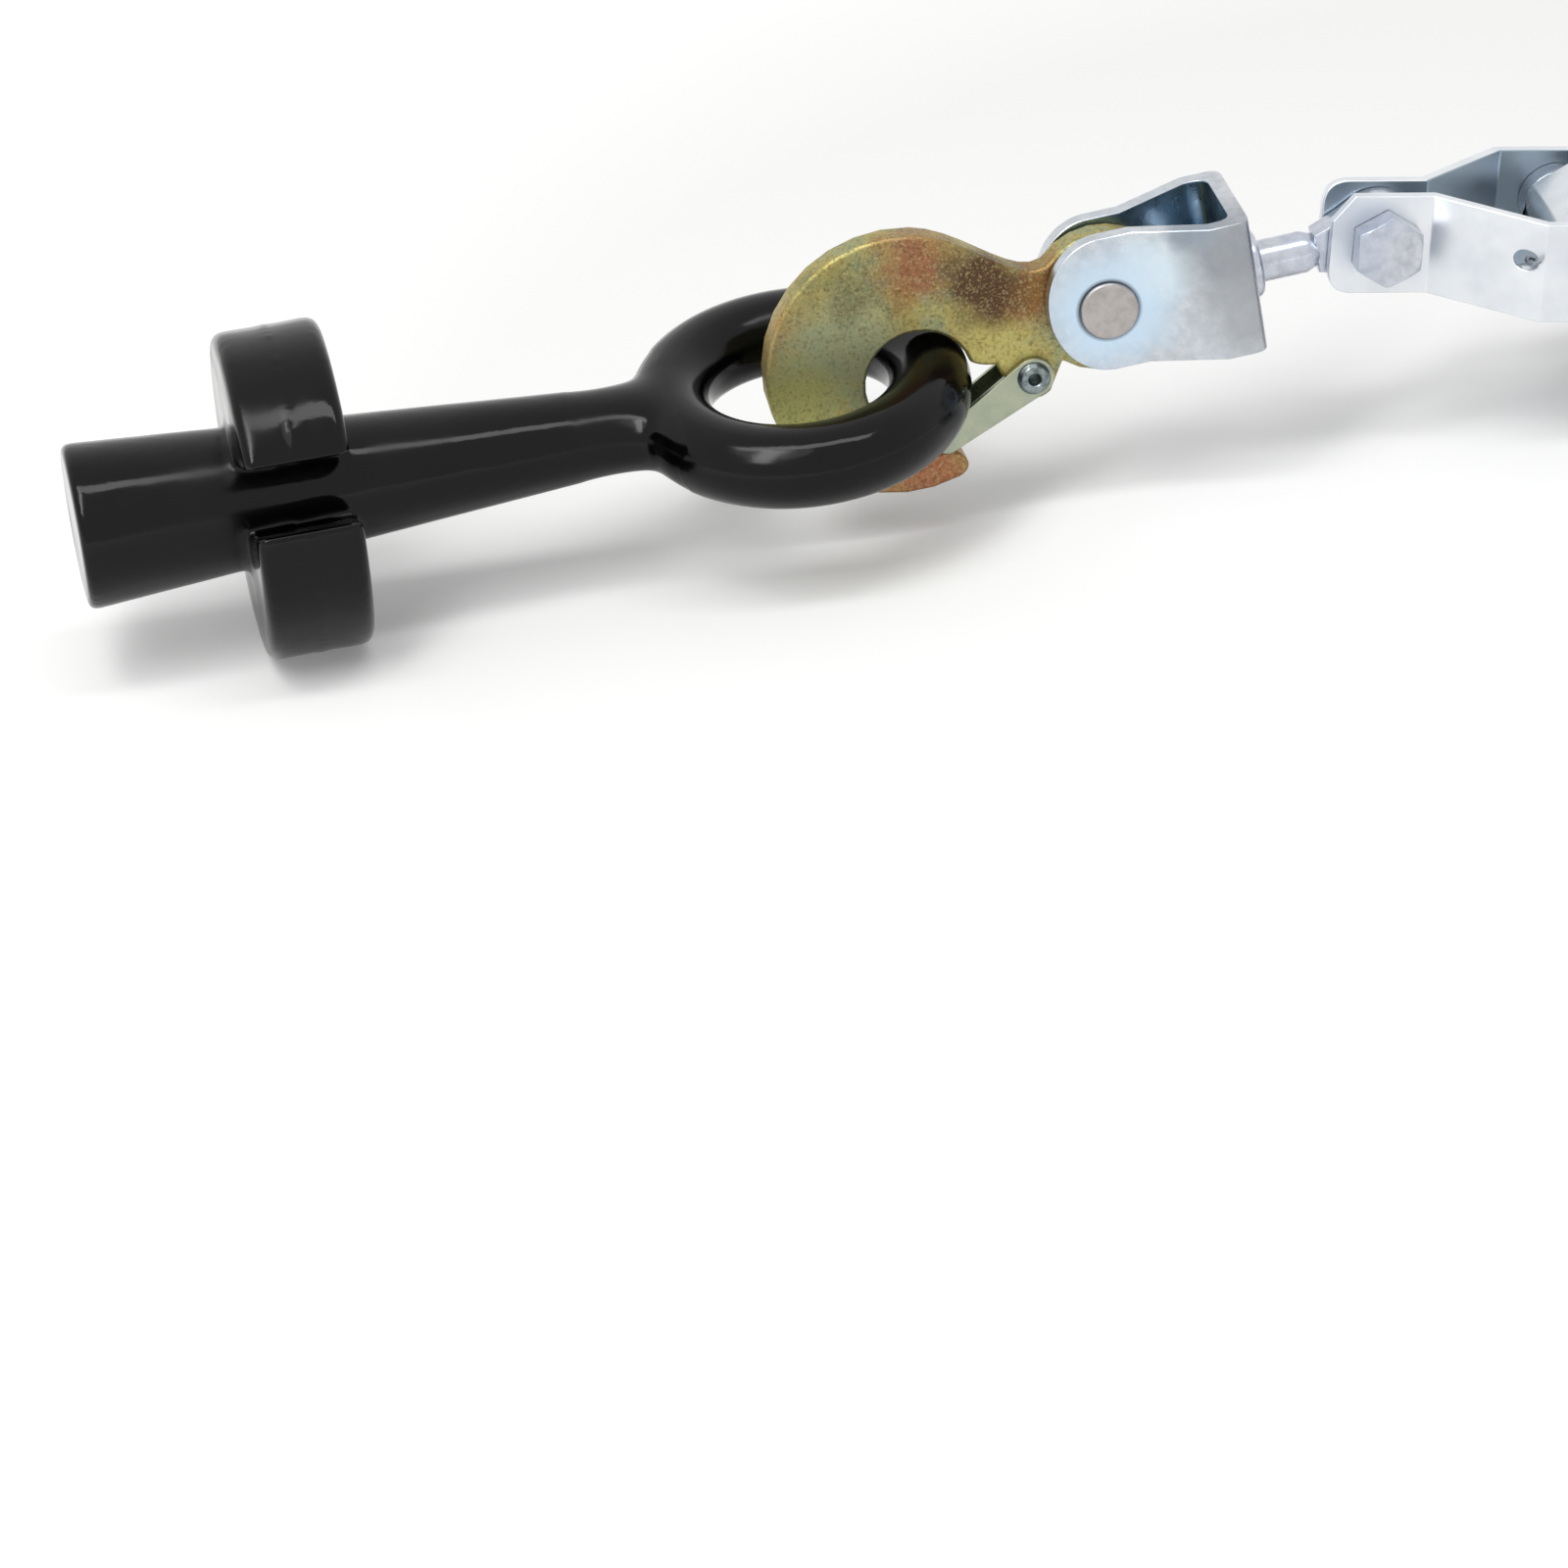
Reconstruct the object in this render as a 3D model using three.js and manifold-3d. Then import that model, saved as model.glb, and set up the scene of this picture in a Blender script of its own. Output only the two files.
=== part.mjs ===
// Come along winch with a barbed-wire grip on its front hook.
// Millimetres, +Z up, +X from the wire grip towards the handle, near side at -Y.
// The chain of pieces is nested as it hangs together: frame, swivel, clevis, hook, grip.

import * as THREE from 'three';
import { mergeVertices } from 'three/addons/utils/BufferGeometryUtils.js';
import Module from 'manifold-3d';

const wasm = await Module();
wasm.setup();

// ---------------- fits
const seatGap = 0.3;            // between faces that bear on each other
const boreClearance = 0.3;      // radial, pins and bolts in their holes

// ---------------- wire grip
const ringOuterDiameter = 90;
const ringWireDiameter = 22;
const gripLength = 236;         // outer edge of the ring to the thick end
const neckDistance = 54;        // ring centre to the slimmest section
const neckDiameter = 25;
const neckThickness = 22.5;
const gripEndDiameter = 43.5;
const gripEndRounding = 1.6;
const collarDiameter = 86;
const collarThickness = 28;
const collarDistance = 134;     // ring centre to the middle of the collar
const collarRounding = 2.6;
const wireSlotWidth = 17.5;
const wireSlotAngle = 28;       // degrees above the ring's plane, on the near side
const neckRootDepth = 0.25;     // how far the root reaches into the ring, of the wire's radius
const neckRootWidth = 1.85;     // half width of the root, of the wire's radius
const neckRootFlat = 0.92;      // half thickness of the root, of the wire's radius
const ringTilt = 8;             // degrees, near side down, as the loose ring lies in the hook

// ---------------- hook and latch
const hookThickness = 8;
const hookEyeRadius = 19.2;
const hookBackRadius = 36;
const hookBackX = -54.5;        // centre of the big outer arc, from the pin
const hookBackZ = 8.5;
const bowlRadius = 14.2;
const bowlX = -52.3;
const bowlZ = 2;
const bowlArc = [-131, -4];     // degrees, the bowl's wall from the tip's side to the ring's seat
const backArc = [62, 272];      // degrees, the crown and the tip's end of the back
const crownLead = 14;
const eyeArc = [-148, 122];     // degrees, where the eye's arc starts and ends
const tipShift = 0.06;          // of the tip, of the back's radius
const tipCurve = [[3.4, 0.6], [2.6, 4.4], [1.6, 8.4], [-3.2, 8.8], [-5.8, 10.6]];
const bowlEntry = [0.66, 0.75]; // where the bowl starts, of its radius
const throatReach = 1.4;        // of the bowl's radius
const throatDrop = 0.35;
const throatCurve = [1.12, 1.5];
const lugArc = [38, 292];       // degrees, its start after the throat's direction, and its end
const neckDip = 0.78;           // share of the eye's radius
const hookEdgeRounding = 1.1;
const hookDroop = 17;           // degrees below the line of pull, at rest
const latchPivotX = -25;
const latchPivotZ = -10;
const latchLugRadius = 7;
const latchRivetRadius = 2.4;
const latchRivetHeadRadius = 4.4;
const latchRivetHeadHeight = 1.4;
const latchRivetHollow = 1.32;  // radius of the hollow in each end
const latchRivetSink = 1;       // depth of the hollow and width of the head's bevel
const latchSheet = 1.5;
const latchTipRadius = 3.4;
const latchTipSeat = 8;         // of the latch above the back's lowest point
const latchSideClearance = 0.4;
const latchWrap = 85;           // degrees of each end's arc on either side of the latch's line

// ---------------- clevis and swivel
const clevisPinRadius = 6.2;
const clevisPinHeadRadius = 7.75;
const clevisPinHeadHeight = 1.2;
const clevisPinBevel = 1;       // width of the head's bevel
const clevisPinBevelDepth = 0.6;
const clevisHeight = 37;
const clevisRise = 1.5;         // middle of the arms above the pin
const clevisEndRadius = 15.8;
const clevisStock = 4.5;
const clevisArc = [92, 268];    // degrees, the rounded end of each arm
const clevisCorner = 4;         // rounding of the strip at the web
const clevisBend = 0.72;        // where the strip reaches its full width, of the length
const clevisMouth = 1;          // free play on each side of the hook plate
const clevisBaseWidth = 38;
const clevisLength = 38.5;      // pin to the outer face of the web
const swivelRodRadius = 5.5;
const swivelHeadRadius = 10;
const swivelHeadHeight = 7;
const swivelHeadBevel = 2;
const swivelNutRadius = 9;
const swivelNutHeight = 3.2;
const webToBolt = 36;           // outer face of the clevis web to the front bolt
const swivelEyeRadius = 12;
const swivelEyeThickness = 8;
const swivelEyeArc = 125;       // degrees, where the eye runs into the rod's flare
const swivelFlare = 3;          // the flare beyond the straps' ends
const swivelFlareSwell = 0.6;
const swivelFlareSink = 0.2;
const swivelTaperStart = 3;     // beyond the flare
const swivelTaperEnd = 1;       // beyond the straps' ends
const swivelTaperSink = 2;      // how far the rod runs into the eye
const swivelSlimming = 0.5;     // rod thinner than the eye's plate where it enters
const swivelEyeBevel = 0.8;
const chainRise = 2.5;          // degrees, pin to front bolt, at rest

// ---------------- frame
const strapThickness = 3;
const strapWidth = 27;
const strapFrontOverhang = 14.5;
const strapCornerRadius = 7;
const strapLowCorner = 0.8;     // length of the lower corner's cut, of its radius
const strapRearLead = 1.3;      // start of the rear rounding before the axle, of its radius
const strapRearArc = 100;       // degrees
const joggleStart = 12;         // behind the front bolt
const joggleEnd = 37;
const frameInnerWidth = 52;
const strapRearRadius = 19;
const frontBoltRadius = 5;
const boltHeadAcross = 17;
const washerSize = 0.6;         // washer radius, of the head across its flats
const boltHeadHeight = 6.4;
const hexChamfer = 0.6;         // of the corner's height above the flats
const nutShare = 1.25;          // nut height, of the bolt head's height
const boltTail = 2;             // of the bolt beyond its nut
const washerThickness = 1.6;
const pawlRodDistance = 54;     // front bolt to the holding pawl's rod
const pawlRodRadius = 6;
const pawlRodHeadRadius = 9;
const pawlRodHeadHeight = 3;
const pawlRodBushRadius = 10;
const springHoleDistance = 33;
const springHoleHeight = 2.5;
const springHoleRadius = 2.75;
const axleDistance = 117;       // front bolt to the drum axle
const axleRadius = 6;
const axleHeadAcross = 19;
const axleHeadHeight = 7.5;
const axleNutShare = 1.2;       // nut height, of the bolt head's height
const axleWasherSize = 0.62;    // washer radius, of the head across its flats

// ---------------- drum and ratchets
const toothCount = 24;
const wheelRadius = 38;
const toothDepth = 5.5;
const toothLand = 2;            // degrees of flat on each tooth tip
const wheelThickness = 5;
const drumWidth = 28;           // between the two ratchet wheels
const drumRadius = 14;
const drumSpigotRadius = 10.5;
const cableHoleRadius = 3.2;
const weightHoleRadius = 4.5;
const weightHoleCircle = 22.5;
const weightHoleCount = 6;

// ---------------- pawls
const pawlBite = 2.6;           // depth of the toe below the tooth tips
const pawlToeRise = 6;
const pawlBackAt = 0.35;        // of the distance from the toe to the hub
const pawlBellyAt = 0.42;
const pawlBellySink = 0.2;      // below the tooth tips, of the tooth's depth
const pawlHeelAt = 0.9;         // of the tooth's pitch
const pawlHubArc = [15, 215];   // degrees
const holdPawlHubRadius = 10.5;
const holdTailLength = 32;
const holdTailWidth = 12;
const holdTailEnd = [[5, -5], [1, 0], [-7, -11]];
const holdTailRise = 6;
const holdBackRise = 0.5;
const driveBackRise = -1.5;
const driveTailEnd = [[1, -2], [11, 3], [10, 7], [0, 4]];
const pawlTaper = 0.6;          // slope of the holding pawl's plan towards its tail
const pawlShoulder = 2;         // full width runs this far past the hub
const springWire = 1.6;
const springTurns = 2.2;
const springPitch = 1.7;
const holdSpringLeg = 2.6;      // of the rod's radius
const driveSpringLeg = 3;       // of the pin's radius
const springRunUp = [0.6, 1, -0.7];
const springInside = [[3, 1.2, -1], [0.4, -0.6, 0]];
const springOutside = [[0, 2, 0], [0.6, 0, 0.6], [2.4, -0.6, 2.2]];
const driveSpringRest = [[1, 1.1], [2.6, 0.9]];
const springPlay = 0.7;         // between a spring's coil and the pin inside it
const drivePivotRadius = 52;
const drivePinRadius = 4;
const drivePawlHubRadius = 7.5;
const teethBetweenPawls = 10;

// ---------------- handle
const yokePlate = 3;
const yokeEyeRadius = 18;
const yokeReach = 86;           // axle to the outer face of the yoke's web
const yokeTubeWidth = 34;
const yokeTaper = 0.6;          // share of the plate taken off the narrow end's inside
const yokeEyeArc = [78, 275];   // degrees
const yokeEarArc = [15, 105];
const yokeEarRim = 2;
const yokeRise = 1;             // of the web above and below the tube
const handleTubeRadius = 12.5;
const handleTubeWall = 2;
const handleLength = 300;       // axle to the end of the grip
const handleRivetRadius = 2.5;
const handleRivetHeadSize = 1.8;
const handleRivetHeadHeight = 1.6;
const handleRivetDome = 0.7;
const drivePinHeadSize = 1.6;
const drivePinHeadHeight = 2;
const drivePinBevel = 0.8;
const handGripLength = 118;
const handGripWall = 2.8;
const handGripRibs = 9;
const handGripRounding = 4;
const handGripFlange = 1.1;     // shares of the sleeve's wall
const handGripLead = 2;
const handGripTail = 5;
const handGripGroove = 0.35;
const handGripFloor = 1.5;
const ribRun = [0.3, 0.5];      // shares of a rib's pitch

const finishes = {
  blackCoat: { color: 0x0b0b0d, roughness: 0.22, metalness: 0.1 },
  yellowZinc: { color: 0xb89a4c, roughness: 0.38, metalness: 0.9 },
  brightZinc: { color: 0xb8bdc2, roughness: 0.34, metalness: 0.9 },
  castSteel: { color: 0x8f959b, roughness: 0.5, metalness: 0.85 },
  springSteel: { color: 0x9aa0a6, roughness: 0.35, metalness: 0.95 },
  rubber: { color: 0x17181a, roughness: 0.75, metalness: 0 },
};

// ---------------- helpers
const rad = THREE.MathUtils.degToRad;
const full = Math.PI * 2;
const overrun = 1;              // how far a cutter runs past what it cuts

function polar(radius, angle) {
  return [radius * Math.cos(angle), radius * Math.sin(angle)];
}

function toSolid(geometry) {
  const bare = geometry.index ? geometry.toNonIndexed() : geometry.clone();
  for (const name of Object.keys(bare.attributes)) {
    if (name !== 'position') bare.deleteAttribute(name);
  }
  const merged = mergeVertices(bare, 1e-4);
  const corners = merged.index.array;
  const triangles = [];
  for (let i = 0; i < corners.length; i += 3) {
    const [a, b, c] = corners.slice(i, i + 3);
    if (a !== b && b !== c && c !== a) triangles.push(a, b, c);
  }
  const mesh = new wasm.Mesh({
    numProp: 3,
    vertProperties: Float32Array.from(merged.attributes.position.array),
    triVerts: Uint32Array.from(triangles),
  });
  return new wasm.Manifold(mesh);
}

function toGeometry(solid) {
  const mesh = solid.getMesh();
  const geometry = new THREE.BufferGeometry();
  geometry.setAttribute('position', new THREE.BufferAttribute(mesh.vertProperties, 3));
  geometry.setIndex(new THREE.BufferAttribute(mesh.triVerts, 1));
  const flat = geometry.toNonIndexed();
  flat.computeVertexNormals();
  return flat;
}

function join(...geometries) {
  return toGeometry(geometries.map(toSolid).reduce((sum, solid) => sum.add(solid)));
}

function cut(geometry, ...cutters) {
  return toGeometry(cutters.map(toSolid).reduce((rest, tool) => rest.subtract(tool), toSolid(geometry)));
}

function common(first, second) {
  return toGeometry(toSolid(first).intersect(toSolid(second)));
}

// Outline points are kept only where they lie this far from the last one kept.
const outlineStep = 0.35;

function thinned(points) {
  const kept = [points[0]];
  for (const point of points.slice(1)) {
    if (point.distanceTo(kept[kept.length - 1]) > outlineStep) kept.push(point);
  }
  if (kept[0].distanceTo(kept[kept.length - 1]) < outlineStep) kept.pop();
  return kept;
}

function sampled(shape, curveSegments) {
  const drawn = shape.extractPoints(curveSegments);
  const plain = new THREE.Shape(thinned(drawn.shape));
  plain.holes = drawn.holes.map((hole) => new THREE.Path(thinned(hole)));
  return plain;
}

// An outline drawn in the XZ plane, extruded along Y between two faces.
function sidePlate(shape, nearY, farY, bevel = 0, curveSegments = 10) {
  const geometry = new THREE.ExtrudeGeometry(sampled(shape, curveSegments), {
    depth: farY - nearY - 2 * bevel,
    bevelEnabled: bevel > 0,
    bevelSize: bevel,
    bevelThickness: bevel,
    bevelOffset: -bevel,
    bevelSegments: 2,
  });
  return geometry.rotateX(Math.PI / 2).translate(0, farY - bevel, 0);
}

// An outline drawn in the XY plane, extruded along Z.
function planPlate(shape, lowZ, highZ, curveSegments = 10) {
  const depth = highZ - lowZ;
  const geometry = new THREE.ExtrudeGeometry(sampled(shape, curveSegments), { depth, bevelEnabled: false });
  return geometry.translate(0, 0, lowZ);
}

function cylinderY(radius, nearY, farY, x = 0, z = 0, segments = 32) {
  const geometry = new THREE.CylinderGeometry(radius, radius, farY - nearY, segments);
  return geometry.translate(x, (nearY + farY) / 2, z);
}

function cylinderX(radius, lowX, highX, segments = 32) {
  const geometry = new THREE.CylinderGeometry(radius, radius, highX - lowX, segments);
  return geometry.rotateZ(Math.PI / 2).translate((lowX + highX) / 2, 0, 0);
}

// A profile of [radius, distance] pairs turned about the X axis; distances rise along +X.
function turnedX(profile, segments = 40) {
  const points = profile.map(([radius, distance]) => new THREE.Vector2(radius, distance));
  return new THREE.LatheGeometry(points, segments).rotateZ(-Math.PI / 2);
}

function turnedY(profile, segments = 32) {
  const points = profile.map(([radius, distance]) => new THREE.Vector2(radius, distance));
  return new THREE.LatheGeometry(points, segments);
}

// A hexagon head with its corners turned off, between two Y planes, chamfer at the outer one.
function hexHead(across, innerY, outerY, x = 0, z = 0) {
  const corner = across / Math.sqrt(3);
  const near = Math.min(innerY, outerY);
  const far = Math.max(innerY, outerY);
  const prism = cylinderY(corner, near, far, 0, 0, 6);
  const chamfer = (corner - across / 2) * hexChamfer;
  const turned = outerY > innerY
    ? [[0, near], [corner, near], [corner, far - chamfer], [across / 2, far], [0, far]]
    : [[0, near], [across / 2, near], [corner, near + chamfer], [corner, far], [0, far]];
  return common(prism, turnedY(turned, 36)).translate(x, 0, z);
}

function circlePath(radius, x = 0, z = 0) {
  const path = new THREE.Path();
  path.absarc(x, z, radius, 0, full, true);
  return path;
}

function outline(points) {
  const shape = new THREE.Shape();
  points.forEach(([x, z], index) => (index ? shape.lineTo(x, z) : shape.moveTo(x, z)));
  shape.closePath();
  return shape;
}

function place(group, name, geometry, finish) {
  const mesh = new THREE.Mesh(geometry, new THREE.MeshStandardMaterial(finishes[finish]));
  mesh.name = name;
  group.add(mesh);
  return mesh;
}

function child(parent, x, z, pitchDegrees = 0) {
  const group = new THREE.Group();
  group.position.set(x, 0, z);
  group.rotation.y = rad(pitchDegrees);
  parent.add(group);
  return group;
}

// ---------------- wire grip
const ringWireRadius = ringWireDiameter / 2;
const ringRadius = (ringOuterDiameter - ringWireDiameter) / 2;
const gripEnd = gripLength - ringOuterDiameter / 2;

// Closed body through flattened round sections [distance, half width, half thickness] along -X.
function loftAlongGrip(sections, sides = 36) {
  const positions = [];
  const rings = sections.map(([distance, halfWidth, halfThickness]) => {
    const ring = [];
    for (let side = 0; side < sides; side += 1) {
      const angle = (side / sides) * full;
      ring.push([-distance, halfWidth * Math.cos(angle), halfThickness * Math.sin(angle)]);
    }
    return ring;
  });
  const face = (a, b, c) => positions.push(...a, ...c, ...b);
  const capCentre = (ring) => [ring[0][0], 0, 0];
  for (let side = 0; side < sides; side += 1) {
    const next = (side + 1) % sides;
    for (let index = 0; index + 1 < rings.length; index += 1) {
      const inner = rings[index];
      const outer = rings[index + 1];
      face(inner[side], outer[next], outer[side]);
      face(inner[side], inner[next], outer[next]);
    }
    const last = rings[rings.length - 1];
    face(capCentre(rings[0]), rings[0][next], rings[0][side]);
    face(capCentre(last), last[side], last[next]);
  }
  const geometry = new THREE.BufferGeometry();
  geometry.setAttribute('position', new THREE.Float32BufferAttribute(positions, 3));
  return geometry;
}

function shankSections() {
  const neck = neckDiameter / 2;
  const flat = neckThickness / 2;
  const root = ringRadius - ringWireRadius * neckRootDepth;
  const rootWidth = ringWireRadius * neckRootWidth;
  const rootFlat = ringWireRadius * neckRootFlat;
  const sections = [];
  const flareSteps = 6;
  for (let step = 0; step <= flareSteps; step += 1) {
    const share = step / flareSteps;
    const sweep = 1 - Math.sin((share * Math.PI) / 2);
    const distance = root + share * (neckDistance - root);
    const flattened = rootFlat + (flat - rootFlat) * share;
    sections.push([distance, neck + (rootWidth - neck) * sweep, flattened]);
  }
  const end = gripEndDiameter / 2;
  sections.push([gripEnd - gripEndRounding, end, end]);
  const eased = gripEndRounding * 0.3;
  sections.push([gripEnd - eased, end - eased, end - eased]);
  sections.push([gripEnd, end - gripEndRounding, end - gripEndRounding]);
  return sections;
}

function collarDisc() {
  const radius = collarDiameter / 2;
  const near = collarDistance - collarThickness / 2;
  const far = collarDistance + collarThickness / 2;
  const profile = [[0, -far]];
  const roundingSteps = 3;
  for (let step = 0; step <= roundingSteps; step += 1) {
    const [across, along] = polar(collarRounding, (step / roundingSteps) * (Math.PI / 2));
    profile.push([radius - collarRounding + along, -far + collarRounding - across]);
  }
  for (let step = 0; step <= roundingSteps; step += 1) {
    const [across, along] = polar(collarRounding, (step / roundingSteps) * (Math.PI / 2));
    profile.push([radius - collarRounding + across, -near - collarRounding + along]);
  }
  profile.push([0, -near]);
  return turnedX(profile, 48);
}

function wireSlot() {
  const reach = collarDiameter / 2 + overrun;
  const slot = new THREE.BoxGeometry(collarThickness + 2 * overrun, reach, wireSlotWidth);
  return slot.translate(-collarDistance, -reach / 2, 0).rotateX(-rad(wireSlotAngle));
}

function wireGrip() {
  const ring = new THREE.TorusGeometry(ringRadius, ringWireRadius, 16, 48);
  const collar = cut(collarDisc(), wireSlot());
  return join(ring, loftAlongGrip(shankSections()), collar);
}

// ---------------- hook and latch
const hookHalf = hookThickness / 2;
const hookTipX = hookBackX + hookBackRadius * tipShift;

// From the eye over the back, round the bowl's outside to the tip, back through the bowl.
function hookOutline() {
  const shape = new THREE.Shape();
  const tipZ = hookBackZ - hookBackRadius;
  const [nose, noseTop, lip, lipTop, inside] = tipCurve.map(([x, z]) => [hookTipX + x, tipZ + z]);
  const throatX = bowlX + bowlRadius * throatReach;
  const throatZ = bowlZ - bowlRadius * throatDrop;
  const crownTurn = rad(backArc[0]);
  const [crownX, crownZ] = polar(hookBackRadius, crownTurn);
  const [leadZ, leadX] = polar(crownLead, crownTurn);
  shape.absarc(0, 0, hookEyeRadius, ...eyeArc.map(rad), false);
  shape.bezierCurveTo(-hookEyeRadius, hookEyeRadius * neckDip, hookBackX + crownX + leadX,
    hookBackZ + crownZ - leadZ, hookBackX + crownX, hookBackZ + crownZ);
  shape.absarc(hookBackX, hookBackZ, hookBackRadius, ...backArc.map(rad), false);
  shape.quadraticCurveTo(...nose, ...noseTop);
  shape.quadraticCurveTo(...lip, ...lipTop);
  shape.quadraticCurveTo(...inside, bowlX - bowlRadius * bowlEntry[0], bowlZ - bowlRadius * bowlEntry[1]);
  shape.absarc(bowlX, bowlZ, bowlRadius, ...bowlArc.map(rad), true);
  shape.quadraticCurveTo(bowlX + bowlRadius * throatCurve[0], throatZ + throatCurve[1], throatX, throatZ);
  const lugStart = Math.atan2(throatZ - latchPivotZ, throatX - latchPivotX) + rad(lugArc[0]);
  shape.absarc(latchPivotX, latchPivotZ, latchLugRadius, lugStart, rad(lugArc[1]), false);
  shape.closePath();
  shape.holes.push(circlePath(clevisPinRadius + boreClearance));
  return shape;
}

function hook() {
  const plate = sidePlate(hookOutline(), -hookHalf, hookHalf, hookEdgeRounding, 9);
  const rivetHole = cylinderY(latchRivetRadius + boreClearance, -hookThickness, hookThickness,
    latchPivotX, latchPivotZ, 20);
  return cut(plate, rivetHole);
}

// ---- latch: folded sheet, two cheeks on the rivet and a floor that bears on the hook's tip
const hookTipTop = hookBackZ - hookBackRadius + latchTipSeat;
const latchInner = hookHalf + latchSideClearance;
const latchOuter = latchInner + latchSheet;
const latchTipX = hookTipX;
const latchTipZ = hookTipTop + latchTipRadius + seatGap;
const latchLean = Math.atan2(latchTipZ - latchPivotZ, latchTipX - latchPivotX);

function latchOutline(shift) {
  const shape = new THREE.Shape();
  const rootRadius = latchRivetHeadRadius + 1;
  const [shiftX, shiftZ] = polar(shift, latchLean - rad(90));
  const rootX = latchPivotX + shiftX;
  const rootZ = latchPivotZ + shiftZ;
  const tipX = latchTipX + shiftX;
  const tipZ = latchTipZ + shiftZ;
  shape.absarc(rootX, rootZ, rootRadius, latchLean + rad(latchWrap),
    latchLean - rad(latchWrap) + full, false);
  shape.absarc(tipX, tipZ, latchTipRadius, latchLean - rad(latchWrap),
    latchLean + rad(latchWrap), false);
  shape.closePath();
  return shape;
}

function latch() {
  const blank = sidePlate(latchOutline(0), -latchOuter, latchOuter, 0.3);
  const fold = sidePlate(latchOutline(latchSheet), -latchInner, latchInner);
  const lug = cylinderY(latchLugRadius + seatGap * 2, -latchInner, latchInner, latchPivotX, latchPivotZ);
  const hole = cylinderY(latchRivetRadius + boreClearance, -hookThickness, hookThickness,
    latchPivotX, latchPivotZ, 20);
  return cut(blank, fold, lug, hole);
}

function latchRivet() {
  const headFace = latchOuter + seatGap;
  const end = headFace + latchRivetHeadHeight;
  const floor = headFace - latchRivetSink;
  const shoulder = end - latchRivetSink;
  const crown = latchRivetHeadRadius - latchRivetSink;
  const half = [[latchRivetRadius, headFace], [latchRivetHeadRadius, headFace],
    [latchRivetHeadRadius, shoulder], [crown, end], [latchRivetHollow, end], [latchRivetHollow, floor],
    [0, floor]];
  const mirrored = half.map(([radius, along]) => [radius, -along]).reverse();
  return turnedY([...mirrored, ...half], 20).translate(latchPivotX, 0, latchPivotZ);
}

// ---------------- clevis, drawn with the pin at the origin
const clevisGap = hookHalf + clevisMouth;
const clevisArmOuter = clevisGap + clevisStock;

function clevisPlan(inset) {
  const half = clevisBaseWidth / 2 - inset;
  const armEnd = clevisArmOuter - inset;
  const heel = clevisLength - inset;
  const corner = clevisCorner;
  const bendStart = clevisPinHeadRadius + 1;
  const bendEnd = clevisLength * clevisBend;
  const shape = new THREE.Shape();
  const front = -clevisEndRadius - overrun;
  shape.moveTo(front, -armEnd);
  shape.lineTo(bendStart, -armEnd);
  shape.lineTo(bendEnd, -half);
  shape.lineTo(heel - corner, -half);
  shape.quadraticCurveTo(heel, -half, heel, -half + corner);
  shape.lineTo(heel, half - corner);
  shape.quadraticCurveTo(heel, half, heel - corner, half);
  shape.lineTo(bendEnd, half);
  shape.lineTo(bendStart, armEnd);
  shape.lineTo(front, armEnd);
  shape.closePath();
  return shape;
}

function clevisSide() {
  const low = clevisRise - clevisHeight / 2;
  const high = clevisRise + clevisHeight / 2;
  const shape = new THREE.Shape();
  shape.absellipse(0, clevisRise, clevisEndRadius, clevisHeight / 2,
    ...clevisArc.map(rad), false, 0);
  shape.lineTo(clevisLength + overrun, low);
  shape.lineTo(clevisLength + overrun, high);
  shape.closePath();
  return shape;
}

function clevis() {
  const strip = cut(planPlate(clevisPlan(0), -clevisHeight, clevisHeight),
    planPlate(clevisPlan(clevisStock), -clevisHeight - overrun, clevisHeight + overrun));
  const side = sidePlate(clevisSide(), -clevisBaseWidth, clevisBaseWidth, 0, 14);
  const pinHole = cylinderY(clevisPinRadius + boreClearance, -clevisBaseWidth, clevisBaseWidth);
  const rodHole = cylinderX(swivelRodRadius + boreClearance, clevisLength / 2, clevisLength + overrun);
  return cut(common(strip, side), pinHole, rodHole);
}

function clevisPin() {
  const face = clevisArmOuter + seatGap;
  const end = face + clevisPinHeadHeight;
  const dome = clevisPinHeadRadius - clevisPinBevel;
  const brim = end - clevisPinBevelDepth;
  const profile = [[0, -end], [dome, -end], [clevisPinHeadRadius, -brim], [clevisPinHeadRadius, -face],
    [clevisPinRadius, -face], [clevisPinRadius, face], [clevisPinHeadRadius, face],
    [clevisPinHeadRadius, brim], [dome, end], [0, end]];
  return turnedY(profile, 36);
}

// ---------------- swivel, drawn with the front bolt at the origin
const webFace = -webToBolt;
const swivelEyeHalf = swivelEyeThickness / 2;

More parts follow.
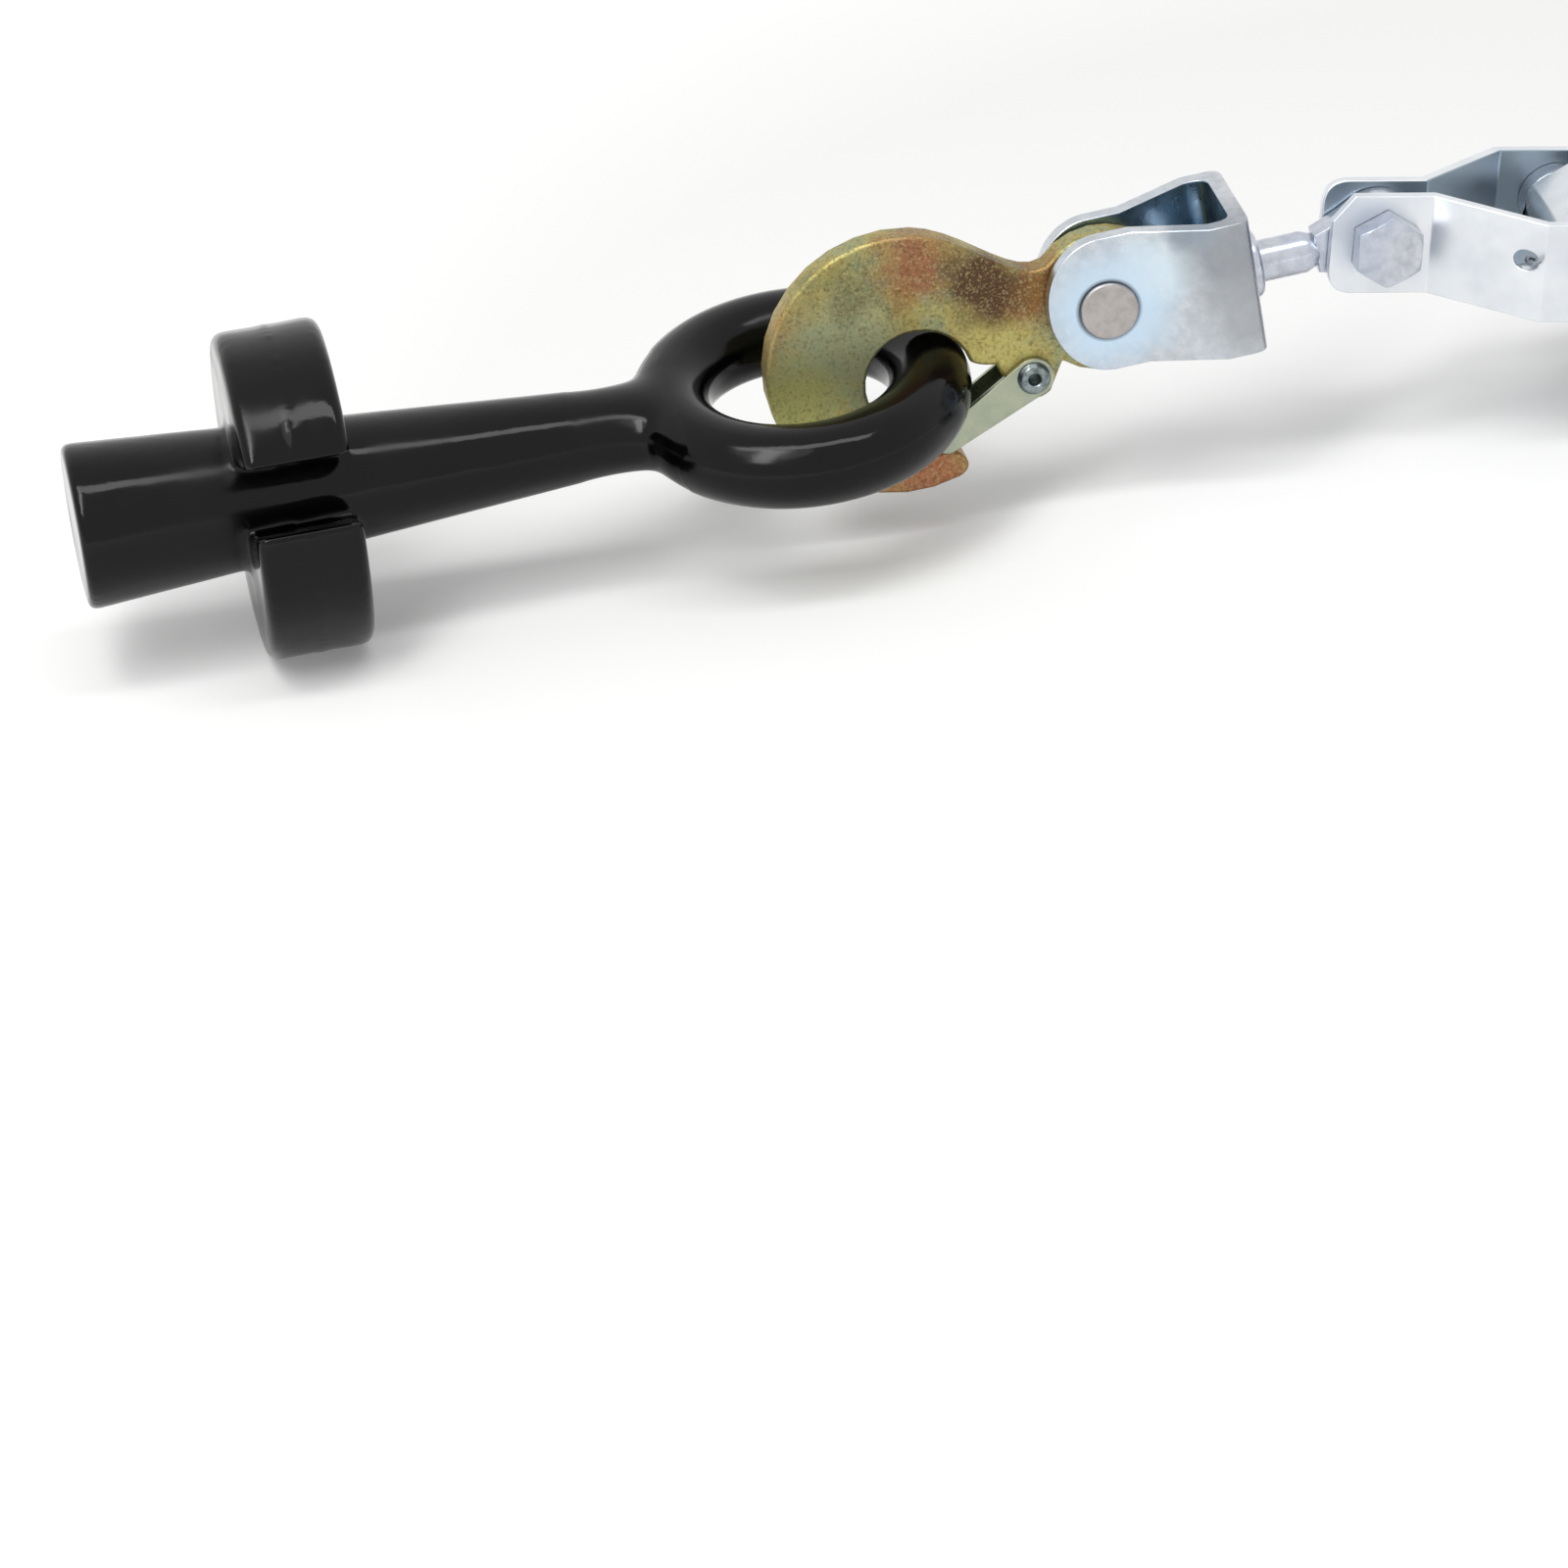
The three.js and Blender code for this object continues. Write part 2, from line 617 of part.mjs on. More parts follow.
function swivelEye() {
  const flare = strapFrontOverhang + swivelFlare;
  const slimRadius = swivelEyeHalf - swivelSlimming;
  const eye = new THREE.Shape();
  const swell = swivelRodRadius + swivelFlareSwell;
  const sunk = swivelRodRadius - swivelFlareSink;
  eye.absarc(0, 0, swivelEyeRadius, rad(-swivelEyeArc), rad(swivelEyeArc), false);
  eye.quadraticCurveTo(-strapFrontOverhang, swell, -flare, sunk);
  eye.lineTo(-flare, -sunk);
  eye.quadraticCurveTo(-strapFrontOverhang, -swell, ...polar(swivelEyeRadius, rad(-swivelEyeArc)));
  const plate = sidePlate(eye, -swivelEyeHalf, swivelEyeHalf, swivelEyeBevel);
  const headInner = webFace - clevisStock - seatGap;
  const headEnd = headInner - swivelHeadHeight;
  const taper = -swivelEyeRadius + swivelTaperSink;
  const headBevel = swivelHeadBevel;
  const rod = turnedX([[0, headEnd], [swivelHeadRadius - headBevel, headEnd],
    [swivelHeadRadius, headEnd + headBevel], [swivelHeadRadius, headInner], [swivelRodRadius, headInner],
    [swivelRodRadius, -flare - swivelTaperStart], [slimRadius, -strapFrontOverhang - swivelTaperEnd],
    [slimRadius, taper], [0, taper]], 28);
  const boltHole = cylinderY(frontBoltRadius + boreClearance, -swivelEyeRadius, swivelEyeRadius, 0, 0, 28);
  return cut(join(plate, rod), boltHole);
}

function swivelNut() {
  const low = webFace + seatGap;
  const high = low + swivelNutHeight;
  const bore = swivelRodRadius + boreClearance;
  return turnedX([[bore, low], [swivelNutRadius, low], [swivelNutRadius, high - 1],
    [swivelNutRadius - 1, high], [bore, high], [bore, low]], 28);
}

// ---------------- frame, drawn with the front bolt at the origin
const strapInnerFront = swivelEyeHalf + seatGap;
const strapInner = frameInnerWidth / 2;
const strapOuterFront = strapInnerFront + strapThickness;
const strapOuter = strapInner + strapThickness;
const strapHalf = strapWidth / 2;

// The strap seen from above: close together at the bolt, joggled out to the drum's width.
function strapPlan() {
  const front = -strapFrontOverhang - overrun;
  const rear = axleDistance + strapRearRadius + overrun;
  const lean = Math.atan2(strapInner - strapInnerFront, joggleEnd - joggleStart);
  const miter = strapThickness * Math.tan(lean / 2);
  return outline([[front, strapInnerFront], [joggleStart + miter, strapInnerFront],
    [joggleEnd + miter, strapInner], [rear, strapInner], [rear, strapOuter], [joggleEnd, strapOuter],
    [joggleStart, strapOuterFront], [front, strapOuterFront]]);
}

function strapSide() {
  const shape = new THREE.Shape();
  const front = -strapFrontOverhang;
  const corner = strapCornerRadius;
  const rearLead = axleDistance - strapRearRadius * strapRearLead;
  shape.moveTo(front, -strapHalf + corner);
  shape.lineTo(front + corner * strapLowCorner, -strapHalf);
  shape.lineTo(rearLead, -strapHalf);
  shape.absarc(axleDistance, 0, strapRearRadius, rad(-strapRearArc), rad(strapRearArc), false);
  shape.lineTo(rearLead, strapHalf);
  shape.lineTo(front + corner, strapHalf);
  shape.quadraticCurveTo(front, strapHalf, front, strapHalf - corner);
  shape.closePath();
  shape.holes.push(circlePath(frontBoltRadius + boreClearance));
  shape.holes.push(circlePath(pawlRodRadius + boreClearance, pawlRodDistance));
  shape.holes.push(circlePath(axleRadius + boreClearance, axleDistance));
  return shape;
}

function farStrap() {
  const plan = planPlate(strapPlan(), -strapWidth, strapWidth);
  return common(plan, sidePlate(strapSide(), 0, strapOuter + overrun, 0, 12));
}

// The near strap mirrors the far one and has the hole that takes the holding pawl's spring.
function nearStrap() {
  const mirrored = farStrap().rotateX(Math.PI);
  const springHole = cylinderY(springHoleRadius, -strapOuter - overrun, 0, springHoleDistance,
    springHoleHeight, 16);
  return cut(mirrored, springHole);
}

// Bolt with its head on the near side; the shank ends at a nut on the far side.
function bolt(radius, across, headHeight, seat, far) {
  const shank = cylinderY(radius, -seat - overrun / 2, far, 0, 0, 24);
  return join(shank, hexHead(across, -seat, -seat - headHeight));
}

function nut(radius, across, seat, height) {
  const bore = cylinderY(radius + boreClearance, seat - overrun, seat + height + overrun, 0, 0, 24);
  return cut(hexHead(across, seat, seat + height), bore);
}

function washer(bore, outer, seat) {
  const profile = [[bore, seat], [outer, seat], [outer, seat + washerThickness],
    [bore, seat + washerThickness], [bore, seat]];
  return turnedY(profile, 32);
}

const frontSeat = strapOuterFront + seatGap;
const frontNutSeat = frontSeat + washerThickness + seatGap;
const frontNutHeight = boltHeadHeight * nutShare;

function pawlRod() {
  const face = strapOuter + seatGap;
  const end = face + pawlRodHeadHeight;
  const rounding = pawlRodHeadHeight / 2;
  return turnedY([[0, -end], [pawlRodHeadRadius - rounding, -end], [pawlRodHeadRadius, -end + rounding],
    [pawlRodHeadRadius, -face], [pawlRodRadius, -face], [pawlRodRadius, face], [pawlRodHeadRadius, face],
    [pawlRodHeadRadius, end - rounding], [pawlRodHeadRadius - rounding, end], [0, end]], 28);
}

// ---------------- drum, drawn with the axle at the origin
const wheelInner = drumWidth / 2 + seatGap;
const wheelOuter = wheelInner + wheelThickness;
const toothPitch = full / toothCount;
const rootRadius = wheelRadius - toothDepth;
const contactRadius = wheelRadius - pawlBite / 2;

function pawlWrap(pivotDistance) {
  return Math.acos(contactRadius / pivotDistance);
}

const holdPivotDistance = axleDistance - pawlRodDistance;
const holdContactAngle = Math.PI - pawlWrap(holdPivotDistance);

// Steep faces look anticlockwise; one of them meets the holding pawl's toe.
function ratchetOutline() {
  const points = [];
  for (let tooth = 0; tooth < toothCount; tooth += 1) {
    const face = holdContactAngle + tooth * toothPitch;
    points.push(polar(wheelRadius, face - rad(toothLand)));
    points.push(polar(wheelRadius, face));
    points.push(polar(rootRadius, face + rad(toothLand) / 4));
  }
  const shape = outline(points);
  shape.holes.push(circlePath(drumSpigotRadius + boreClearance));
  for (let hole = 0; hole < weightHoleCount; hole += 1) {
    const [x, z] = polar(weightHoleCircle, (hole / weightHoleCount) * full);
    shape.holes.push(circlePath(weightHoleRadius, x, z));
  }
  return shape;
}

function ratchetWheel(side) {
  const nearFace = side < 0 ? -wheelOuter : wheelInner;
  return sidePlate(ratchetOutline(), nearFace, nearFace + wheelThickness, 0, 7);
}

function drumCore() {
  const end = strapInner - seatGap;
  const half = drumWidth / 2;
  const bore = axleRadius + boreClearance;
  const core = turnedY([[bore, -end], [drumSpigotRadius, -end], [drumSpigotRadius, -half],
    [drumRadius, -half], [drumRadius, half], [drumSpigotRadius, half], [drumSpigotRadius, end],
    [bore, end], [bore, -end]], 36);
  const anchor = new THREE.CylinderGeometry(cableHoleRadius, cableHoleRadius, drumRadius, 16);
  anchor.rotateX(Math.PI / 2).translate(bore / 2 + drumRadius / 2, 0, drumRadius / 2);
  return cut(core, anchor);
}

// ---------------- pawls
// A pawl's side view in its wheel's own radial and tangential directions at the tooth it holds.
function pawlOutline(contactAngle, pivotDistance, hubRadius, backRise, tail) {
  const along = pivotDistance * Math.sin(pawlWrap(pivotDistance));
  const toeLow = wheelRadius - pawlBite;
  const toeHigh = wheelRadius + pawlToeRise;
  const radial = polar(1, contactAngle);
  const tangent = [-radial[1], radial[0]];
  const toPlane = ([r, t]) => [r * radial[0] + t * tangent[0], r * radial[1] + t * tangent[1]];
  const points = [[toeLow, seatGap], [toeHigh, seatGap], [toeHigh + backRise, along * pawlBackAt]];
  const hubSteps = 14;
  const [from, to] = pawlHubArc;
  for (let step = 0; step <= hubSteps; step += 1) {
    const angle = rad(from + (step / hubSteps) * (to - from));
    if (tail && step === tail.step) points.push(...tail.points);
    points.push([contactRadius + hubRadius * Math.cos(angle), along + hubRadius * Math.sin(angle)]);
  }
  points.push([wheelRadius - toothDepth * pawlBellySink, along * pawlBellyAt]);
  points.push([wheelRadius + seatGap * 3, Math.sin(toothPitch) * wheelRadius * pawlHeelAt]);
  return outline(points.map(toPlane));
}

function pivotOf(contactAngle, pivotDistance) {
  return polar(pivotDistance, contactAngle + pawlWrap(pivotDistance));
}

function holdTail() {
  const along = holdPivotDistance * Math.sin(pawlWrap(holdPivotDistance));
  const end = along + holdTailLength;
  const points = holdTailEnd.map(([out, on]) => [contactRadius + out, end + on]);
  points.unshift([contactRadius + holdTailRise, along + holdPawlHubRadius]);
  return { step: 6, points };
}

// Full width at the wheels and the rod, a narrow tail between the straps' joggles.
function holdPawlPlan() {
  const hubFront = -holdPivotDistance - holdPawlHubRadius;
  const tailHalf = holdTailWidth / 2;
  const tailStart = hubFront - (wheelOuter - tailHalf) * pawlTaper;
  const shoulder = hubFront + pawlShoulder;
  const front = hubFront - holdTailLength;
  return outline([[front, -tailHalf], [tailStart, -tailHalf], [shoulder, -wheelOuter],
    [0, -wheelOuter], [0, wheelOuter], [shoulder, wheelOuter], [tailStart, tailHalf],
    [front, tailHalf]]);
}

function holdPawl() {
  const shape = pawlOutline(holdContactAngle, holdPivotDistance, holdPawlHubRadius, holdBackRise,
    holdTail());
  const blank = sidePlate(shape, -wheelOuter, wheelOuter);
  const body = common(blank, planPlate(holdPawlPlan(), -axleDistance, axleDistance));
  const [pivotX, pivotZ] = pivotOf(holdContactAngle, holdPivotDistance);
  const bore = cylinderY(pawlRodRadius + boreClearance, -strapOuter, strapOuter, pivotX, pivotZ, 28);
  return cut(body, bore);
}

function driveTail() {
  const along = drivePivotRadius * Math.sin(pawlWrap(drivePivotRadius));
  const hub = drivePawlHubRadius;
  const points = driveTailEnd.map(([out, on]) => [contactRadius + hub + out, along + on]);
  return { step: 2, points };
}

const driveContactAngle = holdContactAngle - teethBetweenPawls * toothPitch;

function drivePawl() {
  const shape = pawlOutline(driveContactAngle, drivePivotRadius, drivePawlHubRadius, driveBackRise,
    driveTail());
  const body = sidePlate(shape, -wheelOuter, wheelOuter);
  const [pivotX, pivotZ] = pivotOf(driveContactAngle, drivePivotRadius);
  const bore = cylinderY(drivePinRadius + boreClearance, -strapOuter, strapOuter, pivotX, pivotZ, 24);
  return cut(body, bore);
}

// A torsion spring on a pin along Y: a straight leg beside the pawl, the coil, a leg to its anchor.
function torsionSpring(pinRadius, legAngle, legLength, anchorLeg) {
  const coilRadius = pinRadius + springPlay + springWire / 2;
  const startY = -wheelOuter - seatGap - springWire / 2;
  const stepsPerTurn = 12;
  const coilSteps = Math.round(springTurns * stepsPerTurn);
  const startAngle = legAngle - Math.PI / 2;
  const [legX, legZ] = polar(legLength, legAngle);
  const [coilX, coilZ] = polar(coilRadius, startAngle);
  const points = [new THREE.Vector3(coilX + legX, startY, coilZ + legZ),
    new THREE.Vector3(coilX + legX / 2, startY, coilZ + legZ / 2)];
  for (let step = 0; step <= coilSteps; step += 1) {
    const turns = step / stepsPerTurn;
    const [x, z] = polar(coilRadius, startAngle - turns * full);
    points.push(new THREE.Vector3(x, startY - springPitch * turns, z));
  }
  points.push(...anchorLeg.map((point) => new THREE.Vector3(...point)));
  const extrudePath = new THREE.CatmullRomCurve3(points, false, 'centripetal');
  const section = new THREE.Shape();
  section.absarc(0, 0, springWire / 2, 0, full, false);
  const steps = coilSteps + 16;
  return new THREE.ExtrudeGeometry(sampled(section, 3), { steps, bevelEnabled: false, extrudePath });
}

function holdSpring() {
  const toPawl = holdContactAngle - Math.PI / 2;
  const hole = springHoleDistance - pawlRodDistance;
  const inside = -strapInner + springWire * 2;
  const outside = -strapOuter - springWire;
  const [runX, runY, runZ] = springRunUp;
  return torsionSpring(pawlRodRadius, toPawl, pawlRodRadius * holdSpringLeg, [
    [hole * runX, inside + runY, pawlRodRadius * runZ],
    ...springInside.map(([x, y, z]) => [hole + x, inside + y, springHoleHeight + z]),
    ...springOutside.map(([x, y, z]) => [hole + x, outside + y, springHoleHeight + z])]);
}

function driveSpring(handleAngle) {
  const coilRadius = drivePinRadius + springPlay + springWire / 2;
  const toPawl = driveContactAngle - Math.PI / 2 - handleAngle;
  const [inner, outer] = driveSpringRest;
  return torsionSpring(drivePinRadius, toPawl, drivePinRadius * driveSpringLeg, [
    [coilRadius * inner[0], -strapInner + springWire, coilRadius * inner[1]],
    [coilRadius * outer[0], -strapOuter + springWire, coilRadius * outer[1]]]);
}

// ---------------- handle, drawn along +X with the axle at the origin
const yokeInner = strapOuter + seatGap;
const yokeOuter = yokeInner + yokePlate;
const gripRadius = handleTubeRadius + handGripWall;
const handleRivetX = yokeReach + handleTubeRadius;
const handleDroop = Math.asin((wheelRadius - gripRadius) / (handleLength - handGripRounding));

function yokePlan(inset) {
  const half = yokeOuter - inset;
  const end = yokeReach - inset;
  const bend = drivePivotRadius + drivePawlHubRadius;
  const endHalf = yokeTubeWidth / 2 - inset * yokeTaper;
  const rear = -yokeEyeRadius - overrun;
  return outline([[rear, -half], [bend, -half], [end, -endHalf], [end, endHalf], [bend, half], [rear, half]]);
}

function yokeSide(pinX, pinZ) {
  const shape = new THREE.Shape();
  const ear = drivePawlHubRadius + yokeEarRim;
  const end = handleTubeRadius + yokeRise;
  shape.absarc(0, 0, yokeEyeRadius, ...yokeEyeArc.map(rad), false);
  shape.lineTo(yokeReach + overrun, -end);
  shape.lineTo(yokeReach + overrun, end);
  shape.absarc(pinX, pinZ, ear, ...yokeEarArc.map(rad), false);
  shape.closePath();
  return shape;
}

function handleYoke(pinX, pinZ) {
  const channel = cut(planPlate(yokePlan(0), -yokeReach, yokeReach),
    planPlate(yokePlan(yokePlate), -yokeReach - overrun, yokeReach + overrun));
  const plates = common(channel, sidePlate(yokeSide(pinX, pinZ), -yokeOuter, yokeOuter, 0, 12));
  const spigotRadius = handleTubeRadius - handleTubeWall - seatGap;
  const spigot = cylinderX(spigotRadius, yokeReach - yokePlate / 2, yokeReach + handleTubeRadius * 2, 28);
  const axleHole = cylinderY(axleRadius + boreClearance, -yokeOuter - overrun, yokeOuter + overrun, 0, 0, 28);
  const pinHole = cylinderY(drivePinRadius + boreClearance, -yokeOuter - overrun, yokeOuter + overrun,
    pinX, pinZ, 24);
  const rivetHole = cylinderY(handleRivetRadius + boreClearance, -yokeOuter, yokeOuter, handleRivetX, 0, 16);
  return cut(join(plates, spigot), axleHole, pinHole, rivetHole);
}

function handleTube() {
  const bore = handleTubeRadius - handleTubeWall;
  const start = yokeReach + seatGap;
  const end = handleLength - handGripWall * 2;
  const tube = turnedX([[bore, start], [handleTubeRadius, start], [handleTubeRadius, end], [bore, end],
    [bore, start]], 32);
  return cut(tube, cylinderY(handleRivetRadius + boreClearance, -yokeOuter, yokeOuter, handleRivetX, 0, 16));
}

function handleRivet() {
  const face = handleTubeRadius + seatGap;
  const end = face + handleRivetHeadHeight;
  const head = handleRivetRadius * handleRivetHeadSize;
  const dome = head * handleRivetDome;
  return turnedY([[0, -end], [dome, -end], [head, -face], [handleRivetRadius, -face],
    [handleRivetRadius, face], [head, face], [dome, end], [0, end]], 20).translate(handleRivetX, 0, 0);
}

// Moulded sleeve with finger ribs and a closed, rounded end.
function handGrip() {
  const bore = handleTubeRadius + boreClearance;
  const start = handleLength - handGripLength;
  const flange = handGripWall * handGripFlange;
  const ribsFrom = start + flange * handGripLead;
  const ribsTo = handleLength - handGripWall * handGripTail;
  const ribPitch = (ribsTo - ribsFrom) / handGripRibs;
  const groove = handGripWall * handGripGroove;
  const [ribHold, ribFull] = ribRun;
  const profile = [[bore, start], [gripRadius, start], [gripRadius, start + flange]];
  for (let rib = 0; rib < handGripRibs; rib += 1) {
    const at = ribsFrom + rib * ribPitch;
    profile.push([gripRadius - groove, at], [gripRadius - groove, at + ribPitch * ribHold],
      [gripRadius, at + ribPitch * ribFull]);
  }
  const innerEnd = handleLength - handGripWall * handGripFloor;
  profile.push([gripRadius, handleLength - handGripRounding], [gripRadius - handGripRounding, handleLength],
    [0, handleLength],
    [0, innerEnd], [bore, innerEnd], [bore, start]);
  return turnedX(profile, 24);
}

function drivePin() {
  const face = yokeOuter + seatGap;
  const end = face + drivePinHeadHeight;
  const head = drivePinRadius * drivePinHeadSize;
  const bevel = drivePinBevel;
  return turnedY([[0, -end], [head - bevel, -end], [head, -end + bevel], [head, -face],
    [drivePinRadius, -face], [drivePinRadius, face], [head, face], [head, end - bevel],
    [head - bevel, end], [0, end]], 24);
}

function spacer(pinRadius, outerRadius, lowY, highY) {
  const bore = pinRadius + boreClearance;
  return turnedY([[bore, lowY], [outerRadius, lowY], [outerRadius, highY], [bore, highY], [bore, lowY]], 28);
}

// ---------------- assembly
const gripHeight = collarDiameter / 2;
const winch = new THREE.Group();
const hookTurn = rad(-hookDroop);
// the ring bears on the bowl's wall, a seat's gap away
const [seatX, seatZ] = polar(bowlRadius - ringWireRadius - seatGap, rad(bowlArc[1]));
const bearingX = bowlX + seatX;
const bearingZ = bowlZ + seatZ;
const bowlDrop = bearingZ * Math.cos(hookTurn) - bearingX * Math.sin(hookTurn);
const pinHeight = gripHeight - bowlDrop;
const pinToBolt = clevisLength + webToBolt;
const boltHeight = pinHeight + pinToBolt * Math.sin(rad(chainRise));
const framePitch = Math.asin((boltHeight - wheelRadius) / axleDistance);

const frame = child(winch, 0, boltHeight);
frame.rotation.y = framePitch;
place(frame, 'near_strap', nearStrap(), 'brightZinc');
place(frame, 'far_strap', farStrap(), 'brightZinc');
place(frame, 'front_bolt', bolt(frontBoltRadius, boltHeadAcross, boltHeadHeight, frontSeat,
  frontNutSeat + frontNutHeight + boltTail), 'brightZinc');
place(frame, 'front_washer', washer(frontBoltRadius + boreClearance, boltHeadAcross * washerSize,
  frontSeat), 'brightZinc');
place(frame, 'front_nut', nut(frontBoltRadius, boltHeadAcross, frontNutSeat, frontNutHeight), 'brightZinc');
place(frame, 'pawl_rod', pawlRod().translate(pawlRodDistance, 0, 0), 'brightZinc');

const axle = child(frame, axleDistance, 0);
place(axle, 'drum_core', drumCore(), 'castSteel');
place(axle, 'near_ratchet_wheel', ratchetWheel(-1), 'castSteel');
place(axle, 'far_ratchet_wheel', ratchetWheel(1), 'castSteel');
place(axle, 'holding_pawl', holdPawl(), 'brightZinc');

// the holding pawl's rod carries a spring on the near side and a bush on the far side
place(frame, 'holding_pawl_spring', holdSpring().translate(pawlRodDistance, 0, 0), 'springSteel');
const bushFaces = [wheelOuter + seatGap, strapInner - seatGap];
place(frame, 'pawl_rod_bush', spacer(pawlRodRadius, pawlRodBushRadius, ...bushFaces)
  .translate(pawlRodDistance, 0, 0), 'brightZinc');

const axleSeat = yokeOuter + seatGap;
const axleNutSeat = axleSeat + washerThickness + seatGap;
const axleNutHeight = axleHeadHeight * axleNutShare;
place(axle, 'axle_bolt', bolt(axleRadius, axleHeadAcross, axleHeadHeight, axleSeat,
  axleNutSeat + axleNutHeight + boltTail), 'brightZinc');
place(axle, 'axle_washer', washer(axleRadius + boreClearance, axleHeadAcross * axleWasherSize,
  axleSeat), 'brightZinc');
place(axle, 'axle_nut', nut(axleRadius, axleHeadAcross, axleNutSeat, axleNutHeight), 'brightZinc');

const handleAngle = framePitch - handleDroop;
const [drivePinX, drivePinZ] = pivotOf(driveContactAngle - handleAngle, drivePivotRadius);
const handle = child(axle, 0, 0);
handle.rotation.y = -handleAngle;
place(handle, 'handle_yoke', handleYoke(drivePinX, drivePinZ), 'brightZinc');
place(handle, 'handle_tube', handleTube(), 'brightZinc');
place(handle, 'handle_rivet', handleRivet(), 'springSteel');
place(handle, 'hand_grip', handGrip(), 'rubber');
place(handle, 'drive_pawl_pin', drivePin().translate(drivePinX, 0, drivePinZ), 'springSteel');
place(handle, 'drive_pawl_spacer', spacer(drivePinRadius, drivePawlHubRadius - 1, wheelOuter + seatGap,
  yokeInner - seatGap).translate(drivePinX, 0, drivePinZ), 'brightZinc');
place(handle, 'drive_pawl_spring', driveSpring(handleAngle).translate(drivePinX, 0, drivePinZ),
  'springSteel');
place(axle, 'drive_pawl', drivePawl(), 'brightZinc');

const swivel = child(frame, 0, 0);
swivel.rotation.y = -framePitch - rad(chainRise);
place(swivel, 'swivel_eye', swivelEye(), 'brightZinc');
const clevisGroup = child(swivel, -pinToBolt, 0);
place(clevisGroup, 'swivel_nut', swivelNut().translate(pinToBolt, 0, 0), 'brightZinc');
place(clevisGroup, 'clevis', clevis(), 'brightZinc');
place(clevisGroup, 'clevis_pin', clevisPin(), 'brightZinc');
const hookGroup = child(clevisGroup, 0, 0, chainRise - hookDroop);
place(hookGroup, 'hook', hook(), 'yellowZinc');
place(hookGroup, 'latch', latch(), 'yellowZinc');
place(hookGroup, 'latch_rivet', latchRivet(), 'springSteel');
const gripGroup = child(hookGroup, bearingX, bearingZ, hookDroop);
place(gripGroup, 'wire_grip', wireGrip().rotateX(rad(ringTilt)).translate(-ringRadius, 0, 0), 'blackCoat');

// the floor under the lowest point, the origin under the middle
winch.updateMatrixWorld(true);
const bounds = new THREE.Box3().setFromObject(winch, true);
winch.position.set(-(bounds.min.x + bounds.max.x) / 2, -(bounds.min.y + bounds.max.y) / 2, -bounds.min.z);

export default winch;
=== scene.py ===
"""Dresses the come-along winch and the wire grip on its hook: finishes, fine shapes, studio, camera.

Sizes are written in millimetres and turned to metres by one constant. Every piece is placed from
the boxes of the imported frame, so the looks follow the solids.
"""

import logging
import math
from dataclasses import dataclass
from enum import Enum

import bmesh
import bpy
from mathutils import Matrix, Vector


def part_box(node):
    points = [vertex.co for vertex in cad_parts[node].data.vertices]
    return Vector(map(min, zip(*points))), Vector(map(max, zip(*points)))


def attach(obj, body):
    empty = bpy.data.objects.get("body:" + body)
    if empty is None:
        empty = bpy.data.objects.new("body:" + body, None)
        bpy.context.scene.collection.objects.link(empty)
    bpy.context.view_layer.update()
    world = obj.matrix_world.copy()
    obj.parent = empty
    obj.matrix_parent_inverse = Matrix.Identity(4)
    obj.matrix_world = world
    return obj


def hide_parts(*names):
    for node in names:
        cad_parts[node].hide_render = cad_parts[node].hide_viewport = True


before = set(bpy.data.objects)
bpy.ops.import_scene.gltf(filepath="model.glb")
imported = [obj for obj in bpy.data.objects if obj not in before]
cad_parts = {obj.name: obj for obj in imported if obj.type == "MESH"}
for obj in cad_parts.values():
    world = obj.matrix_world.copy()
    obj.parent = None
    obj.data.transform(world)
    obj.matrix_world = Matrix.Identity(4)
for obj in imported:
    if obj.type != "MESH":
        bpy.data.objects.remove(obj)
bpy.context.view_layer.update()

MM = 0.001
LOG = logging.getLogger("winch")

Mesh = bmesh.types.BMesh
Piece = bpy.types.Object
Tree = bpy.types.NodeTree
Socket = bpy.types.NodeSocket


class Slot(Enum):
    """Material slots of the record."""

    BLACK = "black_coat"
    YELLOW = "yellow_zinc"
    BRIGHT = "bright_zinc"
    CAST = "cast_steel"
    SPRING = "spring_steel"
    RUBBER = "rubber"


class Body(Enum):
    """Moving bodies of the winch."""

    FRAME = "frame"
    SWIVEL = "swivel"
    CLEVIS = "clevis"
    HOOK = "hook"
    LATCH = "latch"
    GRIP = "wire_grip"
    DRUM = "drum"
    HANDLE = "handle"
    DRIVE = "drive_pawl"
    HOLDING = "holding_pawl"


class Kind(Enum):
    """Shader nodes in use, by what they do here."""

    PLACE = "ShaderNodeTexCoord"
    STRETCH = "ShaderNodeMapping"
    NOISE = "ShaderNodeTexNoise"
    CELLS = "ShaderNodeTexVoronoi"
    RAMP = "ShaderNodeValToRGB"
    RANGE = "ShaderNodeMapRange"
    MIX = "ShaderNodeMix"
    RELIEF = "ShaderNodeBump"
    VECTOR = "ShaderNodeVectorMath"
    MATHS = "ShaderNodeMath"
    RAYS = "ShaderNodeLightPath"
    GLOW = "ShaderNodeEmission"
    MATT = "ShaderNodeBsdfDiffuse"
    SURFACE = "ShaderNodeBsdfPrincipled"
    AIR = "ShaderNodeBackground"
    EITHER = "ShaderNodeMixShader"
    SUM = "ShaderNodeAddShader"
    OUTPUT = "ShaderNodeOutputMaterial"
    WORLD = "ShaderNodeOutputWorld"


class Detail(Enum):
    """Octaves of a noise, by how its features look."""

    WAVY = 1.0
    SOFT = 2.0
    CLOUDY = 3.0
    GRAINY = 4.0
    RAGGED = 5.0


